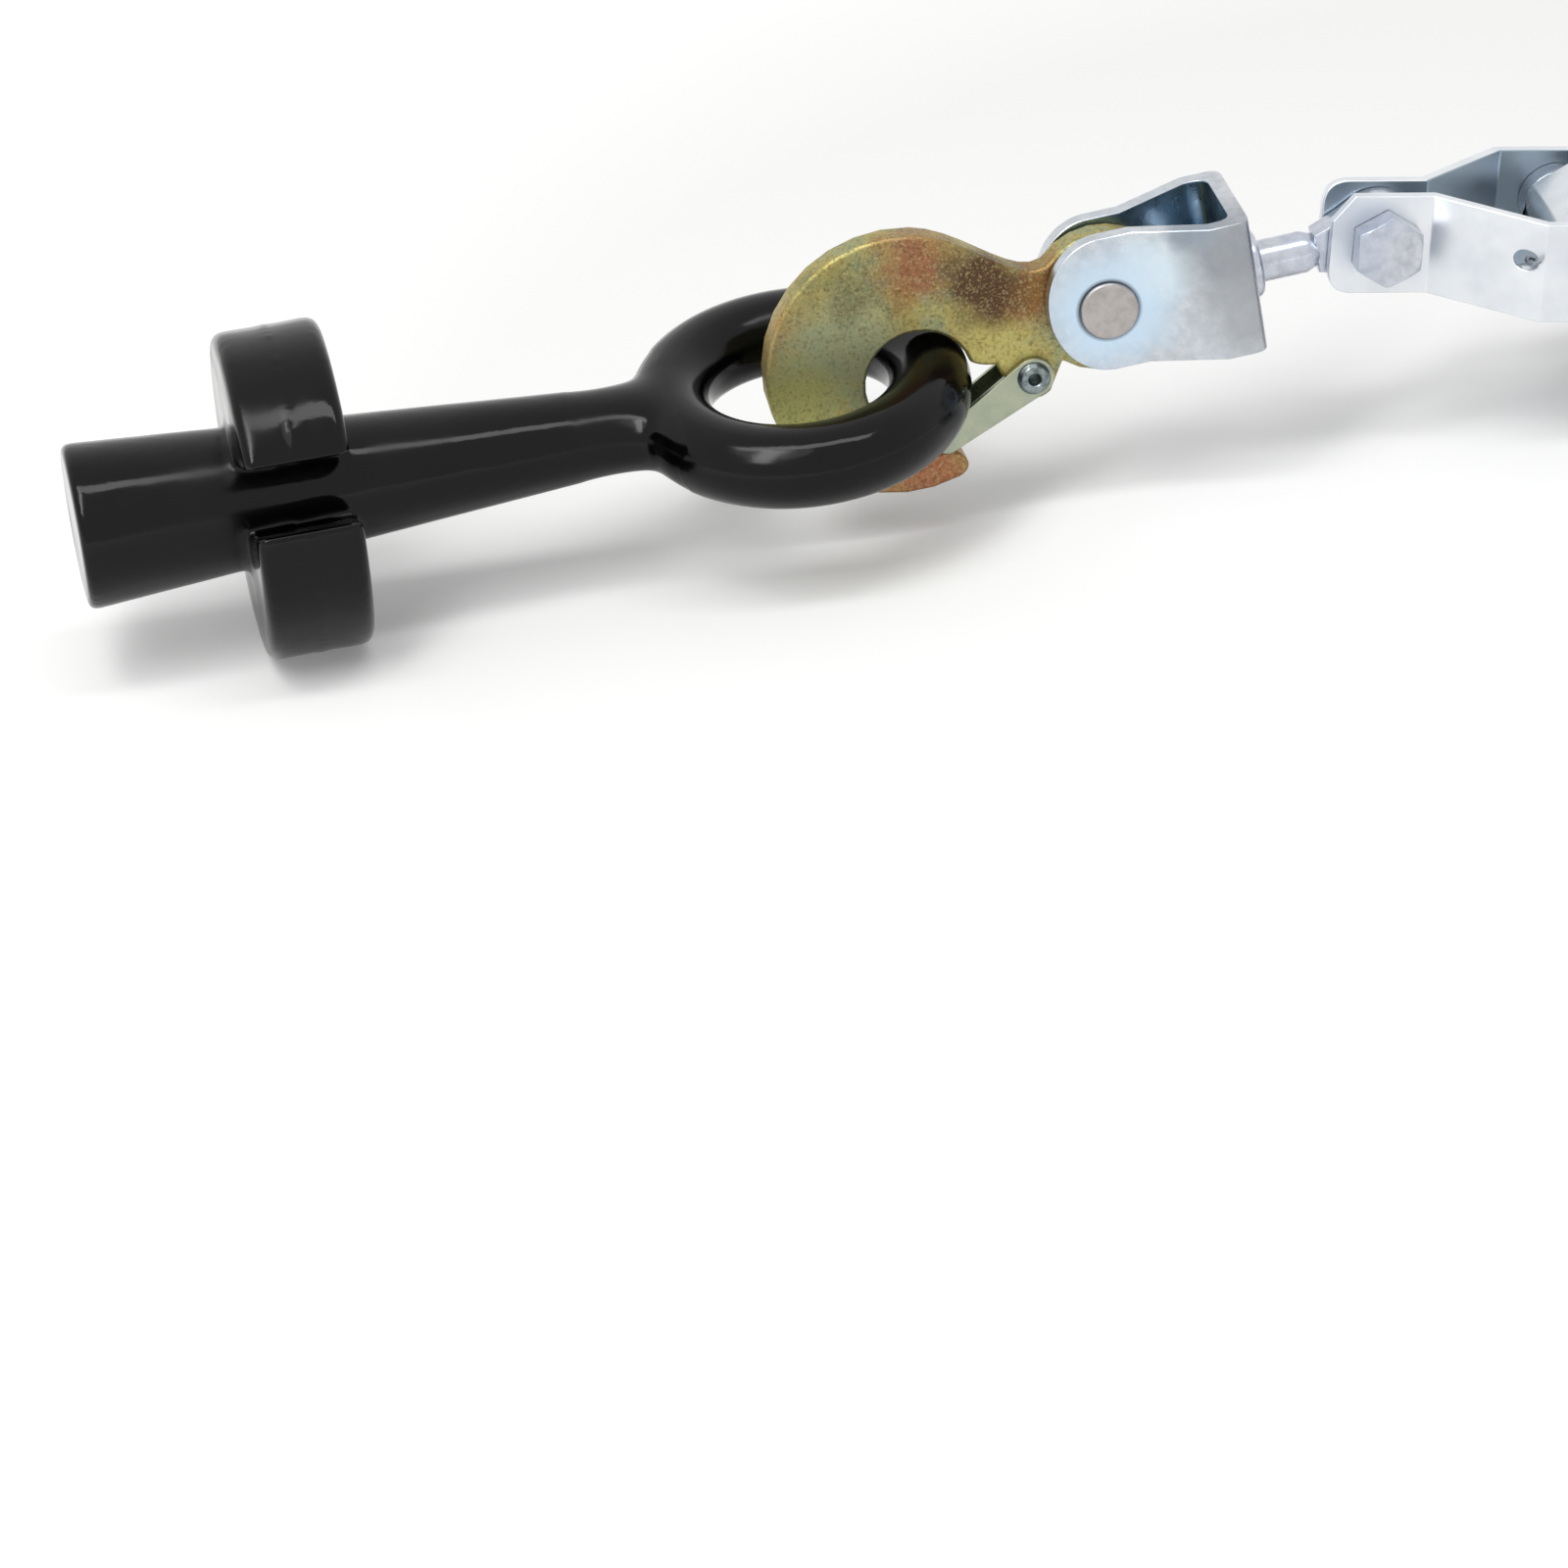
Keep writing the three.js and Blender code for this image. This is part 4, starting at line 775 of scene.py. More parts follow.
class Shop:
    """Shapes meshes with bmesh operators and hands them over as finished pieces."""

    @staticmethod
    def copy_of(node: str) -> Mesh:
        """Copies a CAD node, merges its corners and joins its flat faces.

        Args:
            node: name of the CAD node.

        Returns:
            The mesh at its place in the frame.
        """
        work = bmesh.new()
        work.from_mesh(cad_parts[node].data)
        bmesh.ops.remove_doubles(work, verts=work.verts, dist=MERGE)
        bmesh.ops.dissolve_degenerate(work, edges=work.edges, dist=MERGE)
        bmesh.ops.dissolve_limit(work, angle_limit=FLAT_ANGLE, verts=work.verts, edges=work.edges)
        return work

    @staticmethod
    def ease(work: Mesh, width: float, angle: float, rounds: int) -> None:
        """Rounds every edge that is sharper than an angle.

        Args:
            work: mesh to change.
            width: width of the rounding in millimetres.
            angle: smallest angle between the faces, in degrees.
            rounds: segments across the rounding.
        """
        least = math.radians(angle)
        bmesh.ops.bevel(
            work,
            geom=[edge for edge in work.edges if edge.is_manifold and edge.calc_face_angle() > least],
            offset=width * MM,
            offset_type="OFFSET",
            segments=rounds,
            profile=0.5,
            affect="EDGES",
            clamp_overlap=True,
            material=-1,
        )

    @staticmethod
    def spun(work: Mesh, geometry: list, centre: Vector, axis: Vector, steps: int) -> Mesh:
        """Spins geometry once round an axis and closes the seam.

        Args:
            work: mesh that holds the geometry.
            geometry: vertices and edges to spin.
            centre: a point on the axis, in metres.
            axis: direction of the axis.
            steps: facets round the axis.

        Returns:
            The closed mesh with its normals outwards.
        """
        bmesh.ops.spin(
            work,
            geom=geometry,
            cent=centre,
            axis=axis,
            angle=math.tau,
            steps=steps,
            use_merge=True,
        )
        bmesh.ops.remove_doubles(work, verts=work.verts, dist=MERGE)
        bmesh.ops.recalc_face_normals(work, faces=work.faces)
        return work

    @classmethod
    def turned(cls, profile: list[tuple], centre: Vector, axis: Vector, steps: int) -> Mesh:
        """Turns a profile about an axis.

        Args:
            profile: (radius, distance along the axis) pairs in millimetres; the first and the
                last point lie on the axis.
            centre: where distance nought lies, in metres.
            axis: X_AXIS or Y_AXIS.
            steps: facets round the axis.

        Returns:
            A closed mesh with its normals outwards.
        """
        work = bmesh.new()
        spots = [centre + Z_AXIS * (radius * MM) + axis * (along * MM) for radius, along in profile]
        verts = [work.verts.new(spot) for spot in spots]
        edges = [work.edges.new(pair) for pair in zip(verts, verts[1:])]
        return cls.spun(work, [*verts, *edges], centre, axis, steps)

    @staticmethod
    def loft(stations: list[tuple], start: Vector, sides: int) -> Mesh:
        """Bridges flattened rings that stand along -X.

        Args:
            stations: (distance, half width, half thickness) in millimetres.
            start: where distance nought lies, in metres.
            sides: corners of each ring.

        Returns:
            A closed mesh with its normals outwards.
        """
        work = bmesh.new()
        quarter = Matrix.Rotation(math.pi / 2, 4, "Y")
        loops = []
        for distance, width, thickness in stations:
            spread = Matrix.Diagonal((1, width * MM, thickness * MM, 1))
            place = Matrix.Translation(start - X_AXIS * distance * MM) @ spread @ quarter
            made = bmesh.ops.create_circle(work, segments=sides, radius=1, matrix=place)
            loops.append(list({edge for vert in made["verts"] for edge in vert.link_edges}))
        for first, second in zip(loops, loops[1:]):
            bmesh.ops.bridge_loops(work, edges=first + second)
        for loop in (loops[0], loops[-1]):
            bmesh.ops.contextual_create(work, geom=loop)
        bmesh.ops.recalc_face_normals(work, faces=work.faces)
        return work

    @staticmethod
    def object_of(work: Mesh, name: str) -> Piece:
        """Turns a mesh into a linked object at the origin, and frees it.

        Args:
            work: the mesh.
            name: name of the object.

        Returns:
            The object.
        """
        mesh = bpy.data.meshes.new(name)
        work.to_mesh(mesh)
        work.free()
        made = bpy.data.objects.new(name, mesh)
        bpy.context.scene.collection.objects.link(made)
        return made

    @staticmethod
    def settle(made: Piece) -> None:
        """Applies an object's modifiers to its mesh.

        Args:
            made: the object.
        """
        bpy.context.view_layer.update()
        graph = bpy.context.evaluated_depsgraph_get()
        mesh = bpy.data.meshes.new_from_object(made.evaluated_get(graph))
        made.modifiers.clear()
        made.data = mesh

    @staticmethod
    def hand_over(made: Piece, finish: Finish, body: Body, node: str, crease: float = CREASE) -> None:
        """Finishes a piece, puts it in its node's place and lets it ride on its body.

        Args:
            made: the piece, in place.
            finish: what covers it.
            body: the body it moves with.
            node: the CAD node it stands for.
            crease: angle in degrees past which an edge stays sharp.
        """
        made.data.materials.clear()
        made.data.materials.append(finish.make())
        made.data.shade_smooth()
        made.data.set_sharp_from_angle(angle=math.radians(crease))
        weighted = made.modifiers.new("flat faces stay flat", "WEIGHTED_NORMAL")
        weighted.keep_sharp = True
        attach(made, body.value)
        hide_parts(node)
        LOG.info("%s rides on %s, %d faces", made.name, body.value, len(made.data.polygons))

    @classmethod
    def softened(
        cls,
        node: str,
        name: str,
        finish: Finish,
        body: Body,
        width: float,
        angle: float = 28.0,
        rounds: int = 2,
    ) -> None:
        """Replaces a CAD node by a copy with eased edges.

        Args:
            node: the CAD node.
            name: name of the new piece.
            finish: what covers it.
            body: the body it moves with.
            width: width of the rounding in millimetres.
            angle: smallest angle that is rounded, in degrees.
            rounds: segments across the rounding.
        """
        work = cls.copy_of(node)
        cls.ease(work, width, angle, rounds)
        cls.hand_over(cls.object_of(work, name), finish, body, node)

    @classmethod
    def rounded_wire(cls, node: str, body: Body, levels: int) -> None:
        """Replaces a spring's faceted wire by a smooth one.

        Args:
            node: the spring's CAD node.
            body: the body it rides on.
            levels: subdivision levels.
        """
        work = bmesh.new()
        work.from_mesh(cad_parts[node].data)
        bmesh.ops.remove_doubles(work, verts=work.verts, dist=MERGE)
        bmesh.ops.join_triangles(
            work,
            faces=work.faces,
            angle_face_threshold=PAIR_ANGLE,
            angle_shape_threshold=PAIR_ANGLE,
        )
        made = cls.object_of(work, f"{node}_wire")
        smooth = made.modifiers.new("round", "SUBSURF")
        smooth.levels = levels
        smooth.render_levels = levels
        cls.settle(made)
        cls.hand_over(made, Finishes.SPRING, body, node, WIRE_CREASE)


# ---------------------------------------------------------------- wire grip
@dataclass
class WireGrip:
    """Cast ring, tapered shank and slotted collar in one dip-coated piece.

    Sizes are in millimetres and angles in degrees. Distances run from the ring's centre to the
    thick end.

    Attributes:
        root_inset: how far the shank reaches into the ring, as a share of the wire's radius.
        root_spread: half width of the shank's root, as a share of the wire's radius.
        root_flat: half thickness of the shank's root, as a share of the wire's radius.
        seam_height: height of the mould seam round the collar, with its half width.
        slot_angle: how far the slot's opening is turned from the near side.
        tilt: how far the casting is turned in the hook.
        voxel: size of the cells that fuse the forms.
        rounds: smoothing of the whole coat.
        fillet_reach: how far the fillet between ring and shank spreads.
        fillet_rounds: smoothing of that fillet.
    """

    ring_radius: float = 34.0
    wire_radius: float = 10.95
    wire_sides: int = 40
    ring_steps: int = 120
    root_inset: float = 0.25
    root_spread: float = 1.85
    root_flat: float = 0.92
    neck_distance: float = 54.0
    neck_width: float = 12.5
    neck_thickness: float = 11.2
    neck_steps: int = 10
    shank_sides: int = 72
    end_radius: float = 21.7
    end_distance: float = 190.95
    end_rounding: float = 1.8
    end_steps: int = 4
    collar_radius: float = 42.9
    collar_half: float = 13.95
    collar_distance: float = 134.0
    collar_rounding: float = 3.0
    collar_steps: int = 5
    collar_sides: int = 128
    rim_inset: float = 0.2
    seam_half: float = 1.0
    seam_height: float = 0.55
    slot_width: float = 17.6
    slot_angle: float = 28.0
    slot_spare: float = 4.0
    slot_length: float = 2.4
    tilt: float = 8.0
    voxel: float = 0.8
    rounds: int = 9
    fillet_reach: float = 26.0
    fillet_rounds: int = 45

    def ring_centre(self) -> Vector:
        """Works out the ring's centre from the casting's box.

        Returns:
            The centre in metres.
        """
        low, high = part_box("wire_grip")
        reach = (self.ring_radius + self.wire_radius) * MM
        return Vector((high.x - reach, (low.y + high.y) / 2, (low.z + high.z) / 2))

    def ring(self) -> Mesh:
        """Spins a round section into the ring.

        Returns:
            The ring.
        """
        work = bmesh.new()
        centre = self.ring_centre()
        upright = Matrix.Rotation(math.pi / 2, 4, "X")
        place = Matrix.Translation(centre + X_AXIS * self.ring_radius * MM) @ upright
        radius = self.wire_radius * MM
        made = bmesh.ops.create_circle(work, segments=self.wire_sides, radius=radius, matrix=place)
        edges = list({edge for vert in made["verts"] for edge in vert.link_edges})
        return Shop.spun(work, [*made["verts"], *edges], centre, Z_AXIS, self.ring_steps)

    def shank(self) -> Mesh:
        """Lofts the flared root, the flattened neck and the tapered shank.

        Returns:
            The shank.
        """
        root = self.ring_radius - self.wire_radius * self.root_inset
        wide = self.wire_radius * self.root_spread
        flat = self.wire_radius * self.root_flat
        stations = []
        for step in range(self.neck_steps + 1):
            share = step / self.neck_steps
            sweep = 1 - math.sin(share * math.pi / 2)
            distance = root + share * (self.neck_distance - root)
            width = self.neck_width + (wide - self.neck_width) * sweep
            stations.append((distance, width, flat + (self.neck_thickness - flat) * share))
        soft = self.end_rounding
        corner = (self.end_distance - soft, self.end_radius - soft)
        for distance, radius in arc(corner, (soft, soft), 90, 0, self.end_steps):
            stations.append((distance, radius, radius))
        return Shop.loft(stations, self.ring_centre(), self.shank_sides)

    def collar_centre(self) -> Vector:
        """Returns the collar's centre."""
        return self.ring_centre() - X_AXIS * self.collar_distance * MM

    def collar(self) -> Mesh:
        """Turns the collar with rounded rims and a faint mould seam.

        Returns:
            The collar.
        """
        half, soft = self.collar_half, self.collar_rounding
        inner, size = self.collar_radius - soft, (soft, soft)
        rim = self.collar_radius - self.rim_inset
        seam = [(rim, -self.seam_half), (rim + self.seam_height, 0.0), (rim, self.seam_half)]
        first = arc((inner, soft - half), size, -90, 0, self.collar_steps)
        last = arc((inner, half - soft), size, 0, 90, self.collar_steps)
        profile = [(0, -half), *first, *seam, *last, (0, half)]
        return Shop.turned(profile, self.collar_centre(), X_AXIS, self.collar_sides)

    def slot_cutter(self) -> Mesh:
        """Makes the block that opens the wire slot towards the near side.

        Returns:
            The block.
        """
        work = bmesh.new()
        reach = (self.collar_radius + self.slot_spare) * MM
        length = self.collar_half * self.slot_length * MM
        size = Matrix.Diagonal((length, reach, self.slot_width * MM, 1))
        turn = Matrix.Rotation(-math.radians(self.slot_angle), 4, "X")
        outwards = Matrix.Translation((0, -reach / 2, 0))
        place = Matrix.Translation(self.collar_centre()) @ turn @ outwards @ size
        bmesh.ops.create_cube(work, size=1, matrix=place)
        return work

    def slotted_collar(self) -> Piece:
        """Cuts the wire slot.

        Returns:
            The collar with its slot.
        """
        collar = Shop.object_of(self.collar(), "wire_grip_casting")
        cutter = Shop.object_of(self.slot_cutter(), "slot_cutter")
        cut = collar.modifiers.new("slot", "BOOLEAN")
        cut.operation = "DIFFERENCE"
        cut.object = cutter
        Shop.settle(collar)
        bpy.data.objects.remove(cutter)
        return collar

    def fuse(self, casting: Piece) -> None:
        """Adds the ring and the shank to the collar, and fuses all three under one coat.

        Args:
            casting: the slotted collar, which becomes the whole casting.
        """
        work = bmesh.new()
        work.from_mesh(casting.data)
        for form in (self.ring(), self.shank()):
            loose = bpy.data.meshes.new("form")
            form.to_mesh(loose)
            form.free()
            work.from_mesh(loose)
            bpy.data.meshes.remove(loose)
        work.to_mesh(casting.data)
        work.free()
        coat = casting.modifiers.new("one coat", "REMESH")
        coat.mode = "VOXEL"
        coat.voxel_size = self.voxel * MM
        Shop.settle(casting)

    def junction(self, work: Mesh) -> list:
        """Finds where the shank runs into the ring.

        Args:
            work: the fused casting.

        Returns:
            The vertices there.
        """
        centre = self.ring_centre()
        near, far = self.ring_radius, self.ring_radius + self.fillet_reach
        found = []
        for vert in work.verts:
            along = (centre.x - vert.co.x) / MM
            across = abs(vert.co.y - centre.y) / MM
            if near < along < far and across < self.fillet_reach:
                found.append(vert)
        return found

    @staticmethod
    def smooth(work: Mesh, verts: list, rounds: int) -> None:
        """Smooths part of a mesh.

        Args:
            work: the mesh.
            verts: the vertices that move.
            rounds: how often they do.
        """
        axes = {"use_axis_x": True, "use_axis_y": True, "use_axis_z": True}
        for _ in range(rounds):
            bmesh.ops.smooth_vert(work, verts=verts, factor=0.5, **axes)

    def flow(self, casting: Piece) -> None:
        """Smooths the coat, fills the junction and turns the casting in the hook.

        Args:
            casting: the fused casting.
        """
        work = bmesh.new()
        work.from_mesh(casting.data)
        self.smooth(work, work.verts, self.rounds)
        self.smooth(work, self.junction(work), self.fillet_rounds)
        turn = Matrix.Rotation(math.radians(self.tilt), 3, "X")
        bmesh.ops.rotate(work, cent=self.ring_centre(), matrix=turn, verts=work.verts)
        work.to_mesh(casting.data)
        work.free()

    def build(self) -> None:
        """Cuts the slot, fuses the forms under one coat and hands the casting over."""
        casting = self.slotted_collar()
        self.fuse(casting)
        self.flow(casting)
        Shop.hand_over(casting, Finishes.COAT, Body.GRIP, "wire_grip", NO_CREASE)


# ---------------------------------------------------------------- hook, latch and clevis
def half_length(node: str) -> float:
    """Returns half of a cross pin's length in millimetres, from its node's box."""
    low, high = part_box(node)
    return (high.y - low.y) / 2 / MM


@dataclass
class HookEnd:
    """Flame-cut hook with its sheet latch and hollow rivet. Sizes are in millimetres.

    Attributes:
        rivet_depth: how deep the rivet's bore goes.
        head_height: height of the rivet's heads.
        roll: height of the rolled rim.
        roll_inset: how far the rim's crest lies inside the middle of the wall.
    """

    hook_edge: float = 0.45
    latch_edge: float = 0.25
    rivet_radius: float = 4.35
    rivet_bore: float = 1.7
    rivet_depth: float = 5.0
    rivet_shank: float = 2.35
    head_height: float = 1.35
    roll: float = 0.5
    roll_inset: float = 0.3
    roll_steps: int = 4
    rivet_sides: int = 48

    def rivet(self) -> Mesh:
        """Turns a tubular rivet with rolled heads.

        Returns:
            The rivet.
        """
        half = half_length("latch_rivet")
        bore, shank = self.rivet_bore, self.rivet_shank
        floor, seat, lip = half - self.rivet_depth, half - self.head_height, half - self.roll
        crest = (bore + self.rivet_radius) / 2 - self.roll_inset
        rim = arc((crest, -lip), (crest - bore, self.roll), 180, 360, self.roll_steps)
        head = [(self.rivet_radius, -seat), (shank, -seat), (shank, 0)]
        profile = both_ends([(0, -floor), (bore, -floor), (bore, -lip), *rim, *head])
        return Shop.turned(profile, middle("latch_rivet"), Y_AXIS, self.rivet_sides)

    def build(self) -> None:
        """Eases the hook and latch and turns the rivet."""
        Shop.softened("hook", "hook_plate", Finishes.HOOK, Body.HOOK, self.hook_edge)
        Shop.softened("latch", "latch_sheet", Finishes.LATCH, Body.LATCH, self.latch_edge)
        rivet = Shop.object_of(self.rivet(), "latch_hollow_rivet")
        Shop.hand_over(rivet, Finishes.RIVET, Body.HOOK, "latch_rivet")


@dataclass
class ClevisEnd:
    """Bent clevis strip, its upset pin, and the swivel rod with its nut.

    Sizes are in millimetres.

    Attributes:
        strip_rounds: segments across the strip's rounded edge.
        dish: how far the head's middle lies below its rim, and a little further out.
        dish_share: where that second dish lies, as a share of the head's radius.
        flat_inset: how far the head's flat rim starts inside its edge.
        rounding: radius of the head's edge.
        eye_angle: smallest angle that is rounded on the swivel, in degrees.
    """

    strip_edge: float = 0.7
    strip_rounds: int = 3
    pin_radius: float = 6.15
    pin_sides: int = 72
    head_radius: float = 7.7
    head_height: float = 1.25
    dish: tuple = (0.28, 0.2)
    dish_share: float = 0.55
    flat_inset: float = 1.5
    rounding: float = 0.8
    rounding_steps: int = 4
    eye_edge: float = 0.3
    eye_angle: float = 34.0
    nut_edge: float = 0.4

    def pin(self) -> Mesh:
        """Turns the pin with a slightly dished, upset head on each end.

        Returns:
            The pin.
        """
        half, soft = half_length("clevis_pin"), self.rounding
        deep, shallow = self.dish
        head, shank, face = self.head_radius, self.pin_radius, half - self.head_height
        rim = (head - self.flat_inset, -half)
        dished = [(0, deep - half), (head * self.dish_share, shallow - half), rim]
        edge = arc((head - soft, soft - half), (soft, soft), -90, 0, self.rounding_steps)[1:]
        profile = both_ends([*dished, *edge, (head, -face), (shank, -face), (shank, 0)])
        return Shop.turned(profile, middle("clevis_pin"), Y_AXIS, self.pin_sides)

    def build(self) -> None:
        """Eases the strip, the eye and the nut, and turns the pin."""
        Shop.softened(
            "clevis",
            "clevis_strip",
            Finishes.CLEVIS,
            Body.CLEVIS,
            self.strip_edge,
            rounds=self.strip_rounds,
        )
        pin = Shop.object_of(self.pin(), "clevis_upset_pin")
        Shop.hand_over(pin, Finishes.PIN, Body.CLEVIS, "clevis_pin")
        rod = (self.eye_edge, self.eye_angle)
        Shop.softened("swivel_eye", "swivel_forging", Finishes.FASTENER, Body.SWIVEL, *rod)
        nut = "swivel_collar_nut"
        Shop.softened("swivel_nut", nut, Finishes.FASTENER, Body.SWIVEL, self.nut_edge)


# ---------------------------------------------------------------- frame, drum, pawls and handle
@dataclass
class Frame:
    """Two straps with their bolts, the holding pawl's rod and its spring."""

    strap_edge: float = 0.45
    bolt_edge: float = 0.3
    wire_levels: int = 2

    def build(self) -> None:
        """Eases the straps and the fasteners and rounds the spring."""
        for side in ("near", "far"):
            plate = f"{side}_strap_plate"
            Shop.softened(f"{side}_strap", plate, Finishes.RAIL, Body.FRAME, self.strap_edge)
        for name in ("bolt", "washer", "nut"):
            for place in ("front", "axle"):
                node = f"{place}_{name}"
                Shop.softened(node, f"{node}_plated", Finishes.FASTENER, Body.FRAME, self.bolt_edge)
        for node in ("pawl_rod", "pawl_rod_bush"):
            Shop.softened(node, f"{node}_turned", Finishes.FASTENER, Body.FRAME, self.bolt_edge)
        Shop.rounded_wire("holding_pawl_spring", Body.FRAME, self.wire_levels)


@dataclass
class Drum:
    """Cast drum with a stamped ratchet wheel on each side."""

    tooth_edge: float = 0.3
    core_edge: float = 0.6

    def build(self) -> None:
        """Eases the wheels and the core."""
        for side in ("near", "far"):
            wheel = f"{side}_stamped_wheel"
            Shop.softened(f"{side}_ratchet_wheel", wheel, Finishes.WHEEL, Body.DRUM, self.tooth_edge)
        Shop.softened("drum_core", "drum_casting", Finishes.CAST, Body.DRUM, self.core_edge)


@dataclass
class Pawls:
    """Bent-sheet pawls on the frame and on the handle."""

    edge: float = 0.5

    def build(self) -> None:
        """Eases both pawls."""
        for node, body in (("holding_pawl", Body.HOLDING), ("drive_pawl", Body.DRIVE)):
            Shop.softened(node, f"{node}_plate", Finishes.STRAP, body, self.edge)


@dataclass
class Handle:
    """Pressed yoke, tube, ribbed sleeve and the driving pawl's pin.

    Attributes:
        tube_angle: smallest angle that is rounded on the tube, in degrees.
        sleeve_edge: width in millimetres of the rounding on the sleeve's ribs.
        sleeve_angle: smallest angle that is rounded on the sleeve, in degrees.
    """

    yoke_edge: float = 0.5
    rim: float = 0.3
    tube_angle: float = 60.0
    sleeve_edge: float = 0.35
    sleeve_angle: float = 24.0
    wire_levels: int = 2

    def build(self) -> None:
        """Eases the yoke, tube and pin and smooths the sleeve."""
        yoke, tube = "handle_yoke_pressing", "handle_tube_drawn"
        Shop.softened("handle_yoke", yoke, Finishes.STRAP, Body.HANDLE, self.yoke_edge)
        rim = (self.rim, self.tube_angle)
        Shop.softened("handle_tube", tube, Finishes.STRAP, Body.HANDLE, *rim)
        for node in ("handle_rivet", "drive_pawl_pin", "drive_pawl_spacer"):
            Shop.softened(node, f"{node}_turned", Finishes.FASTENER, Body.HANDLE, self.rim)
        rib = (self.sleeve_edge, self.sleeve_angle)
        Shop.softened("hand_grip", "hand_grip_sleeve", Finishes.SLEEVE, Body.HANDLE, *rib)
        Shop.rounded_wire("drive_pawl_spring", Body.HANDLE, self.wire_levels)


# ---------------------------------------------------------------- studio
@dataclass(frozen=True)
class Lamp:
    """A soft rectangular lamp that looks at the hook.

    Attributes:
        name: name of the lamp.
        spot: its place in metres.
        size: its width and height in metres.
        power: its power in watts.
    """

    name: str
    spot: tuple[float, float, float]
    size: tuple[float, float]
    power: float


@dataclass
class Studio:
    """Pale floor, soft lamps and the camera.

    Attributes:
        azimuth, elevation, roll: the camera's angles in degrees.
        distance, aim: the camera's distance and the point it looks at, in millimetres.
        focal, sensor: focal length and sensor width in millimetres.
        far_clip: how far the camera sees, in metres.
        floor_size: half width of the floor in metres.
        floor_drop: how far the floor lies below the winch, in millimetres.
        floor_lift: how white the floor glows to the eye, near the winch and far from it.
        lift_reach: distances in metres between which that glow grows.
        ambient: strength of the light from all round.
        sun, sun_spread, sun_from: strength, width in degrees and direction of the wide sun.
    """

    azimuth: float = -7.0
    elevation: float = 25.88
    roll: float = 7.43
    distance: float = 2500.0
    aim: tuple = (-207.2, 0.0, -66.4)
    focal: float = 217.21
    sensor: float = 36.0
    far_clip: float = 50.0
    floor_size: float = 12.0
    floor_drop: float = 0.4
    floor_tone: int = 0xF4F4F3
    floor_lift: tuple = (0.16, 0.75)
    lift_reach: tuple = (0.3, 0.9)
    ambient: float = 0.42
    sun: float = 0.35
    sun_spread: float = 35.0
    sun_from: tuple = (-0.45, -0.6, 1.3)
    lamps: tuple = (
        Lamp("window", (-0.75, -0.75, 1.15), (0.3, 0.9), 6.5),
        Lamp("strip", (-0.2, -0.35, 1.25), (1.3, 0.22), 4.5),
    )

    @staticmethod
    def place(name: str, data: bpy.types.ID) -> Piece:
        """Puts a camera or a lamp into the scene.

        Args:
            name: name of the object.
            data: the camera's or the lamp's data.

        Returns:
            The object.
        """
        made = bpy.data.objects.new(name, data)
        bpy.context.scene.collection.objects.link(made)
        return made

    def set_camera(self) -> None:
        """Sets the camera at its angle, turned by its roll about the line of sight."""
        az, el, roll = (math.radians(v) for v in (self.azimuth, self.elevation, self.roll))
        level = Vector((math.cos(az), math.sin(az), 0))
        ahead = Vector((-math.sin(az) * math.cos(el), math.cos(az) * math.cos(el), -math.sin(el)))
        up = level.cross(ahead)
        right = level * math.cos(roll) - up * math.sin(roll)
        above = level * math.sin(roll) + up * math.cos(roll)
        spot = Vector(self.aim) * MM - ahead * self.distance * MM
        turn = Matrix((right, above, -ahead)).transposed().to_4x4()
        data = bpy.data.cameras.new("camera")
        data.lens = self.focal
        data.sensor_width = self.sensor
        data.clip_end = self.far_clip
        camera = self.place("camera", data)
        camera.matrix_world = Matrix.Translation(spot) @ turn
        bpy.context.scene.camera = camera

    def seen_rays(self, tree: Tree) -> Socket:
        """Tells what is seen from what only gets light.

        Args:
            tree: node tree.

        Returns:
            A factor that is one for camera, glossy and transmission rays.
        """
        rays = add_node(tree, Kind.RAYS).outputs
        either = {"operation": "MAXIMUM"}
        links = {0: rays["Is Camera Ray"], 1: rays["Is Glossy Ray"]}
        seen = add_node(tree, Kind.MATHS, either, links)
        links = {0: seen, 1: rays["Is Transmission Ray"]}
        return add_node(tree, Kind.MATHS, either, links).outputs[0]

    def floor_paint(self) -> bpy.types.Material:
        """Mixes the floor's matt paint, which glows a little to what is seen.

        Returns:
            The material.
        """
        material = bpy.data.materials.new("pale studio floor")
        material.use_nodes = True
        tree = material.node_tree
        tree.nodes.clear()
        matt = add_node(tree, Kind.MATT, {"Color": linear(self.floor_tone)})
        place = add_node(tree, Kind.PLACE).outputs["Object"]
        away = add_node(tree, Kind.VECTOR, {"operation": "LENGTH"}, {0: place}).outputs["Value"]
        lift = add_node(tree, Kind.RANGE, span(self.lift_reach, self.floor_lift), {"Value": away})
        glow = add_node(tree, Kind.GLOW, links={"Strength": lift})
        none = add_node(tree, Kind.GLOW, {"Strength": 0.0})
        shown = add_node(tree, Kind.EITHER, links={0: self.seen_rays(tree), 1: none, 2: glow})
        both = add_node(tree, Kind.SUM, links={0: matt, 1: shown})
        add_node(tree, Kind.OUTPUT, links={"Surface": both})
        return material

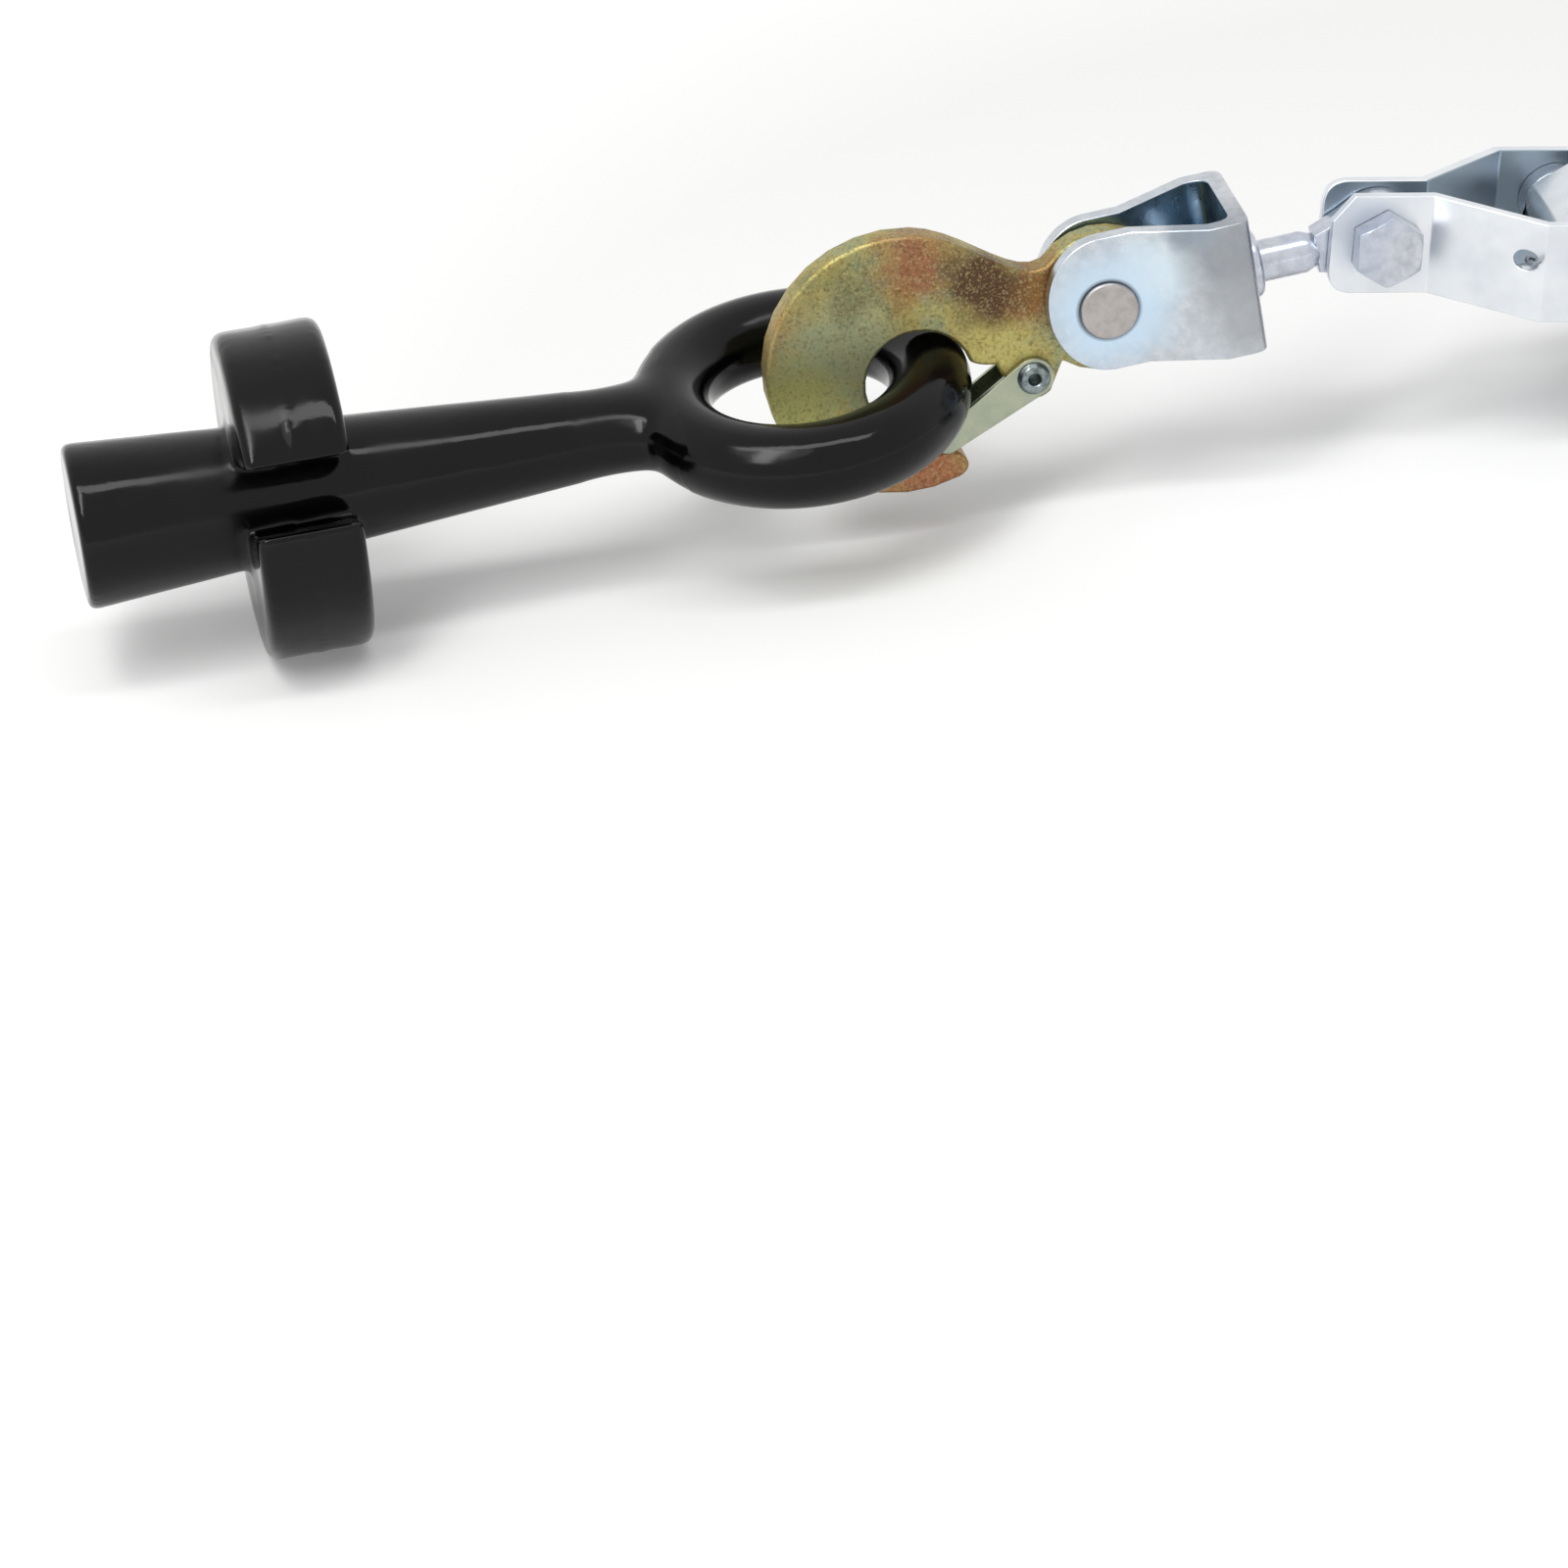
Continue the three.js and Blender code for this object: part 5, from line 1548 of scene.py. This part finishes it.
    def lay_floor(self) -> None:
        """Lays a pale floor that reads white to the camera and keeps the shadow."""
        work = bmesh.new()
        drop = Matrix.Translation((0, 0, -self.floor_drop * MM))
        bmesh.ops.create_grid(work, x_segments=2, y_segments=2, size=self.floor_size, matrix=drop)
        floor = Shop.object_of(work, "floor")
        floor.data.materials.append(self.floor_paint())

    def fill_air(self) -> None:
        """Makes the world white to what is seen and mirrored, and softer as light."""
        world = bpy.data.worlds.new("studio air")
        bpy.context.scene.world = world
        world.use_nodes = True
        tree = world.node_tree
        tree.nodes.clear()
        white = linear(0xFFFFFF)
        soft = add_node(tree, Kind.AIR, {"Color": white, "Strength": self.ambient})
        seen = add_node(tree, Kind.AIR, {"Color": white, "Strength": 1.0})
        both = add_node(tree, Kind.EITHER, links={0: self.seen_rays(tree), 1: soft, 2: seen})
        add_node(tree, Kind.WORLD, links={"Surface": both})

    def hang_lamps(self) -> None:
        """Hangs the wide sun and the area lamps, and turns each towards the hook."""
        sky = bpy.data.lights.new("overcast", "SUN")
        sky.energy = self.sun
        sky.angle = math.radians(self.sun_spread)
        aim = (-Vector(self.sun_from)).to_track_quat("-Z", "Y")
        self.place("overcast", sky).rotation_euler = aim.to_euler()
        for lamp in self.lamps:
            data = bpy.data.lights.new(lamp.name, "AREA")
            data.shape = "RECTANGLE"
            data.size, data.size_y = lamp.size
            data.energy = lamp.power
            hung = self.place(lamp.name, data)
            hung.location = lamp.spot
            aim = (middle("hook") - Vector(lamp.spot)).to_track_quat("-Z", "Y")
            hung.rotation_euler = aim.to_euler()

    def build(self) -> None:
        """Sets up the whole studio."""
        bpy.context.scene.view_settings.view_transform = "Standard"
        self.set_camera()
        self.lay_floor()
        self.fill_air()
        self.hang_lamps()


# ---------------------------------------------------------------- main
def main() -> None:
    """Builds every sub-assembly in order."""
    logging.basicConfig(level=logging.INFO, format="%(message)s")
    for part in (Studio(), WireGrip(), HookEnd(), ClevisEnd(), Frame(), Drum(), Pawls(), Handle()):
        LOG.info("building %s", type(part).__name__)
        part.build()
    bpy.context.view_layer.update()


if __name__ == "__main__":
    main()
